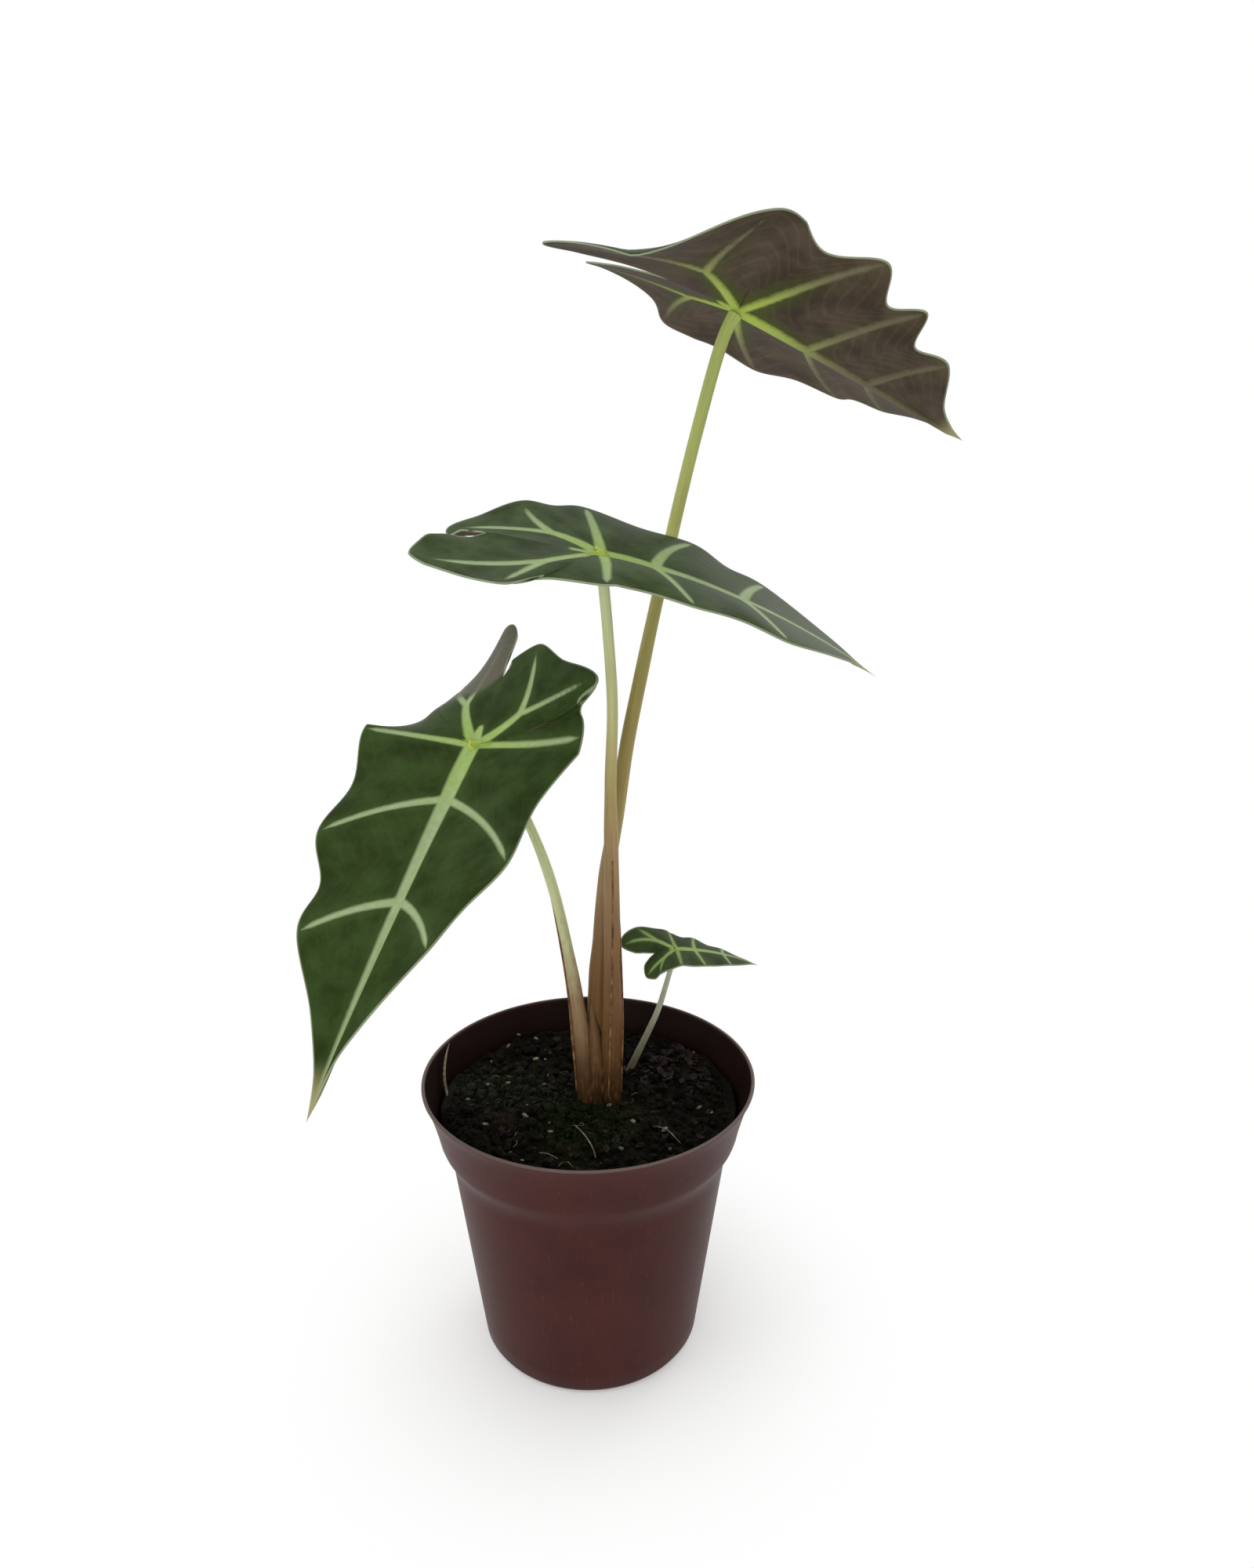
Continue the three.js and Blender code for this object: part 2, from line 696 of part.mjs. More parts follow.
let soil = toSolid(soilGeometry());
Object.values(fatStalk).forEach((stem) => {
  soil = soil.subtract(stem);
});
plant.add(part("soil", toGeometry(mainPiece(soil)), soilMatter));

Object.keys(leaves).forEach((name) => {
  plant.add(part("blade_" + name, blades[name], bladeMaterial[name]));
});

export default plant;
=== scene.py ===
import bpy
import bmesh
import math
import random
import numpy as np
from mathutils import Matrix, Vector, noise


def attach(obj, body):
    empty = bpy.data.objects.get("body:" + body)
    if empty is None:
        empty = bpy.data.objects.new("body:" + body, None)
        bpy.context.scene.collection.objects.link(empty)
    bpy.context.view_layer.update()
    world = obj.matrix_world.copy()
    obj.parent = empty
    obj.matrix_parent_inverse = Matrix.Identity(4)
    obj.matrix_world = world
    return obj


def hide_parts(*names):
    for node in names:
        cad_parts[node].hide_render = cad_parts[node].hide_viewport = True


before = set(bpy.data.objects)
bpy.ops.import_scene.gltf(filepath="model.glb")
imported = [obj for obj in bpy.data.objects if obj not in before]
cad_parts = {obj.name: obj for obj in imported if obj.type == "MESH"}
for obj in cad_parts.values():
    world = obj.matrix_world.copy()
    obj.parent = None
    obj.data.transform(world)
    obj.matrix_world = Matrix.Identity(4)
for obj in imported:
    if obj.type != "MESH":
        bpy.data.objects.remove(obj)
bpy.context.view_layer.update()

# Room: a plain pale floor that runs out into plain white light, as on a studio
# table. Soft light comes from all round, with one large soft lamp above the
# left shoulder and one behind, which light the edges of the pot.

MM = 0.001


def linear(hex_colour):
    """sRGB hex to a linear colour with alpha."""
    parts = [int(hex_colour[i:i + 2], 16) / 255 for i in (1, 3, 5)]
    return [c / 12.92 if c <= 0.04045 else ((c + 0.055) / 1.055) ** 2.4 for c in parts] + [1.0]


def add(material, kind, inputs=None, **settings):
    """Adds one shader node. An input is given a value, or the socket it is linked from."""
    tree = material.node_tree
    node = tree.nodes.new("ShaderNode" + kind)
    for key, value in settings.items():
        setattr(node, key, value)
    for key, value in (inputs or {}).items():
        if isinstance(value, bpy.types.NodeSocket):
            tree.links.new(value, node.inputs[key])
        else:
            node.inputs[key].default_value = value
    return node


def new_material(name):
    material = bpy.data.materials.new(name)
    material.use_nodes = True
    material.node_tree.nodes.clear()
    return material


def new_piece(name, bm, material, smooth=True):
    """A mesh object at the origin with its place in its mesh."""
    mesh = bpy.data.meshes.new(name)
    bm.to_mesh(mesh)
    bm.free()
    for face in mesh.polygons:
        face.use_smooth = smooth
    mesh.materials.append(material)
    piece = bpy.data.objects.new(name, mesh)
    bpy.context.scene.collection.objects.link(piece)
    return piece


scene = bpy.context.scene
scene.view_settings.view_transform = "Standard"

sky = bpy.data.worlds.new("white_surround")
sky.use_nodes = True
# the room is darker on the viewer's side, so dark surfaces seen from the front stay deep
toward = add(sky, "SeparateXYZ", {0: add(sky, "TexCoord").outputs["Generated"]}).outputs["Y"]
level = add(sky, "MapRange",
            {"Value": toward, "From Min": -0.8, "From Max": 0.55, "To Min": 0.82, "To Max": 1.0},
            interpolation_type="SMOOTHSTEP")
sky.node_tree.links.new(level.outputs[0], sky.node_tree.nodes["Background"].inputs["Strength"])
sky.node_tree.nodes["Background"].inputs["Color"].default_value = linear("#ffffff")
scene.world = sky

# Painted board: matt white near the pot, with a quarter self-glow mixed in there as painted light that pales
# the shadows round the pot, and glowing as the surround further out, so no horizon shows
board = new_material("matt_white_board")
place = add(board, "TexCoord").outputs["Object"]
away = add(board, "VectorMath", {0: place}, operation="LENGTH").outputs["Value"]
fade = add(board, "MapRange", {"Value": away, "From Min": 0.03, "From Max": 0.13, "To Min": 0.25},
           interpolation_type="SMOOTHSTEP")
matt = add(board, "BsdfDiffuse", {"Color": linear("#f6f6f4")})
glow = add(board, "Emission", {"Color": linear("#ffffff"), "Strength": 1.0})
blend = add(board, "MixShader", {0: fade.outputs[0], 1: matt.outputs[0], 2: glow.outputs[0]})
add(board, "OutputMaterial", {"Surface": blend.outputs[0]})
bm = bmesh.new()
bmesh.ops.create_circle(bm, cap_ends=True, segments=96, radius=5.0)
floor = new_piece("floor", bm, board, smooth=False)


def soft_lamp(name, place, aim, size, power):
    lamp = bpy.data.objects.new(name, bpy.data.lights.new(name, "AREA"))
    lamp.data.shape = "DISK"
    lamp.data.size = size
    lamp.data.energy = power
    lamp.location = place
    lamp.rotation_euler = (Vector(aim) - Vector(place)).to_track_quat("-Z", "Y").to_euler()
    scene.collection.objects.link(lamp)


soft_lamp("lamp_above", (-0.5, -0.3, 1.1), (0, 0, 0.2), 0.6, 2.5)
soft_lamp("lamp_low_front", (-0.25, -0.8, 0.2), (0.02, 0, 0.25), 0.5, 1.6)
soft_lamp("lamp_behind", (0.7, 0.9, 0.7), (0, 0, 0.2), 0.7, 2.5)

# The photograph's lens spans 2000 pixels at 1450 pixels a unit, 16.3 degrees down
eye = bpy.data.cameras.new("eye")
eye.sensor_width = 36.0
eye.lens = 36.0 * 1450 / 2000
eye.clip_start = 0.01
camera = bpy.data.objects.new("eye", eye)
camera.location = (13.9 * MM, -366.6 * MM, 321 * MM)
camera.rotation_euler = (math.radians(90 - 16.3), 0, 0)
scene.collection.objects.link(camera)
scene.camera = camera

# Pot: a thin 12 cm nursery pot in red-brown polypropylene, formed in one piece
# over a mould, with a rolled-out lip, a stacking collar, a shoulder and a
# stepped foot with drain holes punched through its recess.

POT_HEIGHT = 105
POT_SIDES = 168


def pot_radius(z):
    """Outer radius of the wall at a height, without the lip."""
    if z > 83:
        return 54 + (z - 83) / 22 * 2.5
    if z > 79:
        return 50.5 + (z - 79) / 4 * 3.5
    return 40 + z / 79 * 10.5


pot_outline = [
    (0, 0), (15, 0), (16, 2), (33, 2), (34, 0), (37.5, 0), (39.25, 0.75), (pot_radius(2.5), 2.5),
    (pot_radius(9), 9), (pot_radius(30), 30), (pot_radius(55), 55), (49.8, 73.5), (50.25, 76), (50.9, 78.4),
    (51.8, 80.5), (52.9, 82.3), (53.75, 83.8), (54.35, 85.5), (55.3, 90), (56.6, 95), (57.9, 99.5),
    (59, 102.4), (59.7, 103.8), (60, 104.4), (59.9, 104.8), (59.5, 105), (59.1, 105), (58.7, 104.8),
    (58.3, 103.4), (57.3, 100.4), (55.6, 95), (54.3, 90), (53.3, 85.5), (51.9, 82.3), (50, 79.2), (49, 75.5),
    (pot_radius(30) - 1, 30), (pot_radius(5.4) - 1, 5.4), (37.4, 3.4), (0, 3.4),
]
bm = bmesh.new()
ring = [bm.verts.new((r * MM, 0, z * MM)) for r, z in pot_outline]
line = [bm.edges.new(pair) for pair in zip(ring, ring[1:])]
bmesh.ops.spin(bm, geom=ring + line, cent=(0, 0, 0), axis=(0, 0, 1), dvec=(0, 0, 0),
               angle=math.tau, steps=POT_SIDES, use_merge=True, use_duplicate=False)
bmesh.ops.remove_doubles(bm, verts=bm.verts, dist=1e-6)
bmesh.ops.recalc_face_normals(bm, faces=bm.faces)
# every bend round the lip, the collar and the shoulder is rounded off
corners = [e for e in bm.edges if len(e.link_faces) == 2 and e.calc_face_angle() > math.radians(15)
           and abs(e.verts[0].co.z - e.verts[1].co.z) < 1e-6 and e.verts[0].co.z > 0.07
           and e.calc_length() > 1e-4]
bmesh.ops.bevel(bm, geom=corners, offset=0.2 * MM, offset_type="OFFSET", segments=2, profile=0.5,
                affect="EDGES", material=-1, clamp_overlap=True)

# Moulded polypropylene: satin, slightly waxy, with a fine pebbled grain, faint upright scuffs from stacking,
# a painted highlight paling the lip and painted shade darkening the inner wall above the soil
plastic = new_material("satin_moulded_polypropylene")
place = add(plastic, "TexCoord").outputs["Object"]
axes = add(plastic, "SeparateXYZ", {0: place})
# clouding of the pigment, about 25 mm across
cloud = add(plastic, "TexNoise", {"Vector": place, "Scale": 40.0, "Detail": 3.0, "Roughness": 0.6})
tone = add(plastic, "ValToRGB", {"Fac": cloud.outputs["Fac"]})
tone.color_ramp.elements[0].position, tone.color_ramp.elements[0].color = 0.3, linear("#381b18")
tone.color_ramp.elements[1].position, tone.color_ramp.elements[1].color = 0.75, linear("#43211e")
# upright scuffs, 0.8 mm wide and some 15 mm long
turned = add(plastic, "Mapping", {"Vector": place, "Scale": (1250.0, 1250.0, 60.0)})
scuff = add(plastic, "TexNoise", {"Vector": turned.outputs[0], "Scale": 1.0, "Detail": 2.0})
scuffed = add(plastic, "MapRange",
              {"Value": scuff.outputs["Fac"], "From Min": 0.62, "From Max": 0.8, "To Max": 0.35})
worn = add(plastic, "MixRGB",
           {"Fac": scuffed.outputs[0], "Color1": tone.outputs[0], "Color2": linear("#5e3d37")})
# painted highlight: the lip's edge is painted a paler grey, standing for the light caught along the rim
lip = add(plastic, "MapRange",
          {"Value": axes.outputs["Z"], "From Min": 0.1042, "From Max": 0.1048, "To Max": 0.7})
lipped = add(plastic, "MixRGB",
             {"Fac": lip.outputs[0], "Color1": worn.outputs[0], "Color2": linear("#6e615c")})
# painted shade: inside, above the soil, the wall is darkened nearly to black, standing for the shade in the
# pot's mouth;
# inward of a line 0.5 mm within the outer face
flat = add(plastic, "CombineXYZ", {"X": axes.outputs["X"], "Y": axes.outputs["Y"], "Z": 0.0})
reach = add(plastic, "VectorMath", {0: flat.outputs[0]}, operation="LENGTH")
face = add(plastic, "MapRange",
           {"Value": axes.outputs["Z"], "From Min": 0.085, "From Max": 0.105, "To Min": 0.0537,
            "To Max": 0.0591}, clamp=False)
within = add(plastic, "Math", {0: face.outputs[0], 1: reach.outputs["Value"]}, operation="SUBTRACT")
inner = add(plastic, "MapRange", {"Value": within.outputs[0], "From Min": 0.0001, "From Max": 0.0004})
above = add(plastic, "MapRange", {"Value": axes.outputs["Z"], "From Min": 0.0865, "From Max": 0.0875})
painted_inner_shade = add(plastic, "Math", {0: inner.outputs[0], 1: above.outputs[0]}, operation="MULTIPLY")
inner_shade_strength = add(plastic, "MapRange",
           {"Value": cloud.outputs["Fac"], "From Min": 0.3, "From Max": 0.7, "To Min": 0.98, "To Max": 0.8})
painted_inner_shade = add(plastic, "Math", {0: painted_inner_shade.outputs[0], 1: inner_shade_strength.outputs[0]}, operation="MULTIPLY")
lipped = add(plastic, "MixRGB",
             {"Fac": painted_inner_shade.outputs[0], "Color1": lipped.outputs[0], "Color2": linear("#170d08")})
grain = add(plastic, "TexNoise", {"Vector": place, "Scale": 1800.0, "Detail": 2.0})
sheen = add(plastic, "MapRange", {"Value": cloud.outputs["Fac"], "To Min": 0.34, "To Max": 0.5})
pebbled = add(plastic, "Bump", {"Height": grain.outputs["Fac"], "Strength": 0.12, "Distance": 0.0001})
surface = add(plastic, "BsdfPrincipled", {
    "Base Color": lipped.outputs[0], "Roughness": sheen.outputs[0], "IOR": 1.49, "Specular IOR Level": 0.08,
    "Normal": pebbled.outputs[0]})
add(plastic, "OutputMaterial", {"Surface": surface.outputs[0]})

pot = new_piece("nursery_pot", bm, plastic)
punches = bmesh.new()
for i in range(6):
    angle = (i + 0.5) * math.tau / 6
    bmesh.ops.create_cone(punches, cap_ends=True, segments=32, radius1=4 * MM, radius2=4 * MM, depth=9 * MM,
                          matrix=Matrix.Translation(
                              (25 * MM * math.cos(angle), 25 * MM * math.sin(angle), 2 * MM)))
punch = new_piece("punch", punches, plastic)
cut = pot.modifiers.new("drain_holes", "BOOLEAN")
cut.operation, cut.solver, cut.object = "DIFFERENCE", "EXACT", punch
punched = bpy.data.meshes.new_from_object(pot.evaluated_get(bpy.context.evaluated_depsgraph_get()))
pot.modifiers.clear()
pot.data = punched
bpy.data.objects.remove(punch)
for face in pot.data.polygons:
    face.use_smooth = True
pot.data.set_sharp_from_angle(angle=math.radians(40))
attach(pot, "root")
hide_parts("pot")

# Soil: moist dark peat with crumbs of bark and coir, filled to a centimetre
# below the lip and pressed in by hand, with moss growing round the stalks.

SOIL_TOP = 94


def soil_height(x, y):
    """Height of the soil in mm: the hand-pressed hollows, as in the solid part."""
    rough = (math.sin(x * 0.31 + 1.3) * math.cos(y * 0.27 - 0.4) + 0.6 * math.sin(x * 0.11 - y * 0.19 + 2)
             + 0.5 * math.cos(x * 0.53 + y * 0.47))
    return SOIL_TOP + 0.8 * rough


soil_edge = pot_radius(91) - 1.3
soil_outline = [(r, None) for r in np.linspace(0, soil_edge, 82)]
soil_outline += [(pot_radius(84) - 1.35, 84), (pot_radius(82.7) - 1.45, 82.7),
                 (pot_radius(78.7) - 1.45, 78.7), (pot_radius(40) - 1.45, 40),
                 (pot_radius(7.4) - 1.45, 7.4), (36.5, 3.7), (0, 3.7)]
bm = bmesh.new()
ring = [bm.verts.new((r * MM, 0, (SOIL_TOP if z is None else z) * MM)) for r, z in soil_outline]
line = [bm.edges.new(pair) for pair in zip(ring, ring[1:])]
bmesh.ops.spin(bm, geom=ring + line, cent=(0, 0, 0), axis=(0, 0, 1), dvec=(0, 0, 0),
               angle=math.tau, steps=220, use_merge=True, use_duplicate=False)
bmesh.ops.remove_doubles(bm, verts=bm.verts, dist=1e-6)
bmesh.ops.recalc_face_normals(bm, faces=bm.faces)
for vert in bm.verts:
    if vert.co.z > (SOIL_TOP - 0.1) * MM:
        x, y = vert.co.x / MM, vert.co.y / MM
        inside = min(1.0, (soil_edge - math.hypot(x, y)) / 3.0)
        # clods some 7 mm across and crumbs of 2 to 3 mm
        clod = noise.fractal(Vector((x * 0.15, y * 0.15, 3.1)), 1.0, 2.0, 3)
        crumb = 1 - noise.voronoi(Vector((x * 0.42, y * 0.42, 0.7)))[0][0] * 1.7
        fine = noise.noise(Vector((x * 1.3, y * 1.3, 9.0)))
        vert.co.z = (soil_height(x, y) - 0.7 + inside * (1.1 * clod + 0.8 * crumb + 0.3 * fine)) * MM

# Peat: nearly black brown where moist, with paler dry crumbs and a breath of green algae
peat = new_material("moist_peat")
place = add(peat, "TexCoord").outputs["Object"]
patch = add(peat, "TexNoise", {"Vector": place, "Scale": 60.0, "Detail": 4.0, "Roughness": 0.7})
tone = add(peat, "ValToRGB", {"Fac": patch.outputs["Fac"]})
tone.color_ramp.elements[0].position, tone.color_ramp.elements[0].color = 0.3, linear("#0c0904")
tone.color_ramp.elements[1].position, tone.color_ramp.elements[1].color = 0.72, linear("#2b2214")
middle = tone.color_ramp.elements.new(0.52)
middle.color = linear("#17130a")
# crumbs of 1.2 mm
crumbs = add(peat, "TexVoronoi", {"Vector": place, "Scale": 800.0})
speck = add(peat, "MixRGB", {"Fac": 0.5, "Color1": tone.outputs[0], "Color2": crumbs.outputs["Distance"]},
            blend_type="MULTIPLY")
# green algae and moss: one patch in front of the stalks, a greyer one at the left
soiled = speck.outputs[0]
ragged = add(peat, "TexNoise", {"Vector": place, "Scale": 260.0, "Detail": 3.0})
for centre, reach, colour in (((-0.001, -0.015, 0.094), (60.0, 50.0, 20.0), "#161f09"),
                              ((-0.031, 0.006, 0.094), (44.0, 80.0, 20.0), "#24231a")):
    local = add(peat, "Mapping",
                {"Vector": place, "Location": [-c * r for c, r in zip(centre, reach)], "Scale": reach})
    away = add(peat, "VectorMath", {0: local.outputs[0]}, operation="LENGTH")
    torn = add(peat, "Math", {0: away.outputs["Value"], 1: ragged.outputs["Fac"]}, operation="ADD")
    cover = add(peat, "MapRange",
                {"Value": torn.outputs[0], "From Min": 1.75, "From Max": 1.2, "To Max": 0.9})
    soiled = add(peat, "MixRGB",
                 {"Fac": cover.outputs[0], "Color1": soiled, "Color2": linear(colour)}).outputs[0]
lift = add(peat, "Bump", {"Height": crumbs.outputs["Distance"], "Strength": 0.7, "Distance": 0.0006},
           invert=True)
surface = add(peat, "BsdfPrincipled", {
    "Base Color": soiled, "Roughness": 0.9, "Specular IOR Level": 0.08, "Normal": lift.outputs[0]})
add(peat, "OutputMaterial", {"Surface": surface.outputs[0]})

soil = new_piece("soil_bed", bm, peat)
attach(soil, "root")
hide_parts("soil")

# Loose crumbs of bark and peat, scattered and settled into the surface
random.seed(7)


def scatter_place(reach=51.0):
    """A spot on the soil outside the stalks, in mm."""
    while True:
        x, y = random.uniform(-reach, reach), random.uniform(-reach, reach)
        if math.hypot(x, y) < reach and math.hypot(x - 4, y - 3) > 10:
            return x, y


def scattered(name, count, shape, material, smooth=False):
    """One piece of many small shapes, made fifty at a time: an operator slows down as its mesh grows."""
    whole = bmesh.new()
    for first in range(0, count, 50):
        bm = bmesh.new()
        for number in range(first, min(first + 50, count)):
            shape(bm, number)
        part = bpy.data.meshes.new("part")
        bm.to_mesh(part)
        bm.free()
        whole.from_mesh(part)
        bpy.data.meshes.remove(part)
    piece = new_piece(name, whole, material, smooth=smooth)
    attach(piece, "root")


def crumb(bm, number):
    x, y = scatter_place()
    size = random.choice((0.5, 0.7, 0.9, 1.2, 1.7)) * random.uniform(0.7, 1.3)
    spot = (Matrix.Translation((x * MM, y * MM, (soil_height(x, y) - 0.1 + 0.35 * size) * MM))
            @ Matrix.Rotation(random.uniform(0, math.tau), 4, "Z")
            @ Matrix.Rotation(random.uniform(-0.6, 0.6), 4, "X")
            @ Matrix.Diagonal((size * MM, size * MM * random.uniform(0.5, 1),
                               size * MM * random.uniform(0.4, 0.9), 1)))
    made = bmesh.ops.create_icosphere(bm, subdivisions=1 if size < 1.2 else 2, radius=1.0, matrix=spot)
    for vert in made["verts"]:
        vert.co += Vector((random.uniform(-0.16, 0.16) * size * MM for _ in range(3)))


scattered("peat_crumbs", 1500, crumb, peat)

# Moss: shoots 1 to 2 mm tall, mottled at random from nearly black to olive
moss = new_material("damp_moss")
place = add(moss, "TexCoord").outputs["Object"]
tint = add(moss, "TexNoise", {"Vector": place, "Scale": 900.0, "Detail": 1.0})
tone = add(moss, "ValToRGB", {"Fac": tint.outputs["Fac"]})
tone.color_ramp.elements[0].position, tone.color_ramp.elements[0].color = 0.35, linear("#0d1107")
tone.color_ramp.elements[1].position, tone.color_ramp.elements[1].color = 0.7, linear("#232c12")
surface = add(moss, "BsdfPrincipled", {
    "Base Color": tone.outputs[0], "Roughness": 0.8, "Specular IOR Level": 0.1})
add(moss, "OutputMaterial", {"Surface": surface.outputs[0]})


def shoot(bm, number):
    while True:
        middle, reach = random.choice((((-1, -15), (15, 17)), ((-31, 6), (17, 9))))
        x, y = (random.gauss(m, r * 0.55) for m, r in zip(middle, reach))
        if math.hypot(x, y) < 50 and math.hypot(x - 4, y - 3) > 9:
            break
    tall = random.uniform(0.9, 2.0)
    bmesh.ops.create_cone(
        bm, cap_ends=True, segments=5, radius1=0.42 * MM, radius2=0.08 * MM, depth=tall * MM,
        matrix=(Matrix.Translation((x * MM, y * MM, (soil_height(x, y) + 0.35 * tall) * MM))
                @ Matrix.Rotation(random.uniform(-0.7, 0.7), 4, "X")
                @ Matrix.Rotation(random.uniform(-0.7, 0.7), 4, "Y")))


scattered("moss_shoots", 1100, shoot, moss)

# Dry litter: brown crumpled scraps of old leaf, mostly at the back right
litter = new_material("dry_leaf_litter")
place = add(litter, "TexCoord").outputs["Object"]
tint = add(litter, "TexNoise", {"Vector": place, "Scale": 350.0, "Detail": 4.0, "Roughness": 0.7})
tone = add(litter, "ValToRGB", {"Fac": tint.outputs["Fac"]})
tone.color_ramp.elements[0].position, tone.color_ramp.elements[0].color = 0.3, linear("#120c09")
tone.color_ramp.elements[1].position, tone.color_ramp.elements[1].color = 0.75, linear("#332723")
rough = add(litter, "Bump", {"Height": tint.outputs["Fac"], "Strength": 0.6, "Distance": 0.0004})
surface = add(litter, "BsdfPrincipled", {
    "Base Color": tone.outputs[0], "Roughness": 0.75, "Specular IOR Level": 0.15, "Normal": rough.outputs[0]})
add(litter, "OutputMaterial", {"Surface": surface.outputs[0]})


BACK_SCRAPS = 34


def scrap(bm, number):
    if number < BACK_SCRAPS:
        x, y = random.uniform(20, 46), random.uniform(6, 40)
    else:
        x, y = scatter_place(47)
    x, y = (c * min(1, 49 / math.hypot(x, y)) for c in (x, y))
    size = random.uniform(1.6, 3.6) if number < BACK_SCRAPS else random.uniform(0.9, 2.0)
    flake = bmesh.new()
    bmesh.ops.create_grid(flake, x_segments=4, y_segments=3, size=1.0)
    for vert in flake.verts:
        u, v = vert.co.x, vert.co.y
        pinch = 1 - 0.5 * abs(u) ** 2
        vert.co = Vector((u, 0.6 * v * pinch,
                          0.5 * noise.noise(Vector((u * 1.3 + number, v * 1.3, 2.0))) + 0.2 * u * u))
    bmesh.ops.solidify(flake, geom=list(flake.faces), thickness=0.12)
    bmesh.ops.transform(flake, verts=flake.verts, matrix=(
        Matrix.Translation((x * MM, y * MM, (soil_height(x, y) + 0.7) * MM))
        @ Matrix.Rotation(random.uniform(0, math.tau), 4, "Z")
        @ Matrix.Rotation(random.uniform(-0.7, 0.7), 4, "X")
        @ Matrix.Diagonal((size * MM, size * MM, size * MM, 1))))
    bmesh.ops.recalc_face_normals(flake, faces=flake.faces)
    mesh = bpy.data.meshes.new("flake")
    flake.to_mesh(mesh)
    flake.free()
    bm.from_mesh(mesh)
    bpy.data.meshes.remove(mesh)


scattered("leaf_scraps", 120, scrap, litter)

# Pale husks and grit, each 1 to 2 mm, lying where the photograph shows them
husk = new_material("pale_seed_husk")
place = add(husk, "TexCoord").outputs["Object"]
tint = add(husk, "TexNoise", {"Vector": place, "Scale": 700.0, "Detail": 3.0})
tone = add(husk, "ValToRGB", {"Fac": tint.outputs["Fac"]})
tone.color_ramp.elements[0].position, tone.color_ramp.elements[0].color = 0.3, linear("#3f3a28")
tone.color_ramp.elements[1].position, tone.color_ramp.elements[1].color = 0.7, linear("#8f8a72")
surface = add(husk, "BsdfPrincipled", {
    "Base Color": tone.outputs[0], "Roughness": 0.6, "Specular IOR Level": 0.3})
add(husk, "OutputMaterial", {"Surface": surface.outputs[0]})
HUSKS = [(-38.1, 24.2), (-27.9, 21.9), (-21.2, 24.2), (-30, 46), (-22.6, 43.1), (-33, 36.3), (-35.8, -18.3),
         (-38.1, 8.4), (39.8, -7.4), (40, 31), (11.8, -32.7), (7.5, -5.5), (-12.8, -20.7), (-30.5, 8.4),
         (-22.2, -12.9), (16, -17), (-17, 10), (27, -21), (-44, -2), (20, 40)]


def husk_grain(bm, number):
    x, y = HUSKS[number] if number < len(HUSKS) else scatter_place(49)
    size = random.uniform(0.75, 1.25) if number < len(HUSKS) else random.uniform(0.25, 0.6)
    bmesh.ops.create_icosphere(bm, subdivisions=1, radius=1.0, matrix=(
        Matrix.Translation((x * MM, y * MM, (soil_height(x, y) + 0.9) * MM))
        @ Matrix.Rotation(random.uniform(0, math.tau), 4, "Z")
        @ Matrix.Rotation(random.uniform(-0.5, 0.5), 4, "Y")
        @ Matrix.Diagonal((size * 1.3 * MM, size * 0.75 * MM, size * 0.45 * MM, 1))))


scattered("pale_husks", 44, husk_grain, husk, smooth=True)


def smooth_run(stations, step):
    """Points and radii along one smooth curve through the stations, about a step apart."""
    data = np.array(stations, float)
    ends = np.vstack([2 * data[0] - data[1], data, 2 * data[-1] - data[-2]])
    gaps = np.linalg.norm(np.diff(ends[:, :3], axis=0), axis=1) ** 0.5
    run = []
    for i in range(len(data) - 1):
        p0, p1, p2, p3 = ends[i:i + 4, :3]
        d0, d1, d2 = gaps[i:i + 3]
        t1 = ((p1 - p0) / d0 - (p2 - p0) / (d0 + d1) + (p2 - p1) / d1) * d1
        t2 = ((p2 - p1) / d1 - (p3 - p1) / (d1 + d2) + (p3 - p2) / d2) * d1
        count = max(2, round(np.linalg.norm(p2 - p1) / step))
        for f in np.arange(count) / count:
            place = ((2 * f ** 3 - 3 * f ** 2 + 1) * p1 + (f ** 3 - 2 * f ** 2 + f) * t1
                     + (3 * f ** 2 - 2 * f ** 3) * p2 + (f ** 3 - f ** 2) * t2)
            eased = f * f * (3 - 2 * f)
            run.append((*place, data[i, 3] * (1 - eased) + data[i + 1, 3] * eased))
    run.append(tuple(data[-1]))
    return np.array(run)


def grow_tube(bm, run, sides, wide=1.0, flat=1.0, twist=0.0):
    """A closed tube along the run: one circle, extruded ring by ring. Its rings' section may be flattened."""
    along_share = bm.verts.layers.float.get("along") or bm.verts.layers.float.new("along")
    around = bm.verts.layers.float.get("around") or bm.verts.layers.float.new("around")
    points = [Vector(p[:3]) * MM for p in run]
    circle = bmesh.ops.create_circle(bm, cap_ends=False, segments=sides, radius=1.0)["verts"]
    unit = [v.co.copy() for v in circle]
    verts = circle
    edges = list({e for v in circle for e in v.link_edges})
    first = None
    for i, point in enumerate(points):
        ahead = (points[min(i + 1, len(points) - 1)] - points[max(i - 1, 0)]).normalized()
        across = (Vector((1, 0, 0)) - ahead * ahead.x).normalized()
        other = ahead.cross(across)
        turn = Matrix((across, other, ahead)).transposed().to_4x4()
        size = run[i][3] * MM
        stand = (Matrix.Translation(point) @ turn @ Matrix.Rotation(twist, 4, "Z")
                 @ Matrix.Diagonal((size * wide, size * flat, size, 1)))
        if i:
            made = bmesh.ops.extrude_edge_only(bm, edges=edges)["geom"]
            verts = [g for g in made if isinstance(g, bmesh.types.BMVert)]
            edges = [g for g in made if isinstance(g, bmesh.types.BMEdge)
                     and all(v in verts for v in g.verts)]
            # each new corner stands over its own old one
            order = {old: k for k, old in enumerate(last)}
            ordered = [None] * sides
            for v in verts:
                below = next(e.other_vert(v) for e in v.link_edges if e.other_vert(v) in order)
                ordered[order[below]] = v
            verts = ordered
        for k, v in enumerate(verts):
            v.co = stand @ unit[k]
            v[along_share] = i / (len(points) - 1)
            v[around] = k / sides
        last = list(verts)
        first = first or list(verts)
    for end in (first, last):
        bmesh.ops.contextual_create(bm, geom=end)


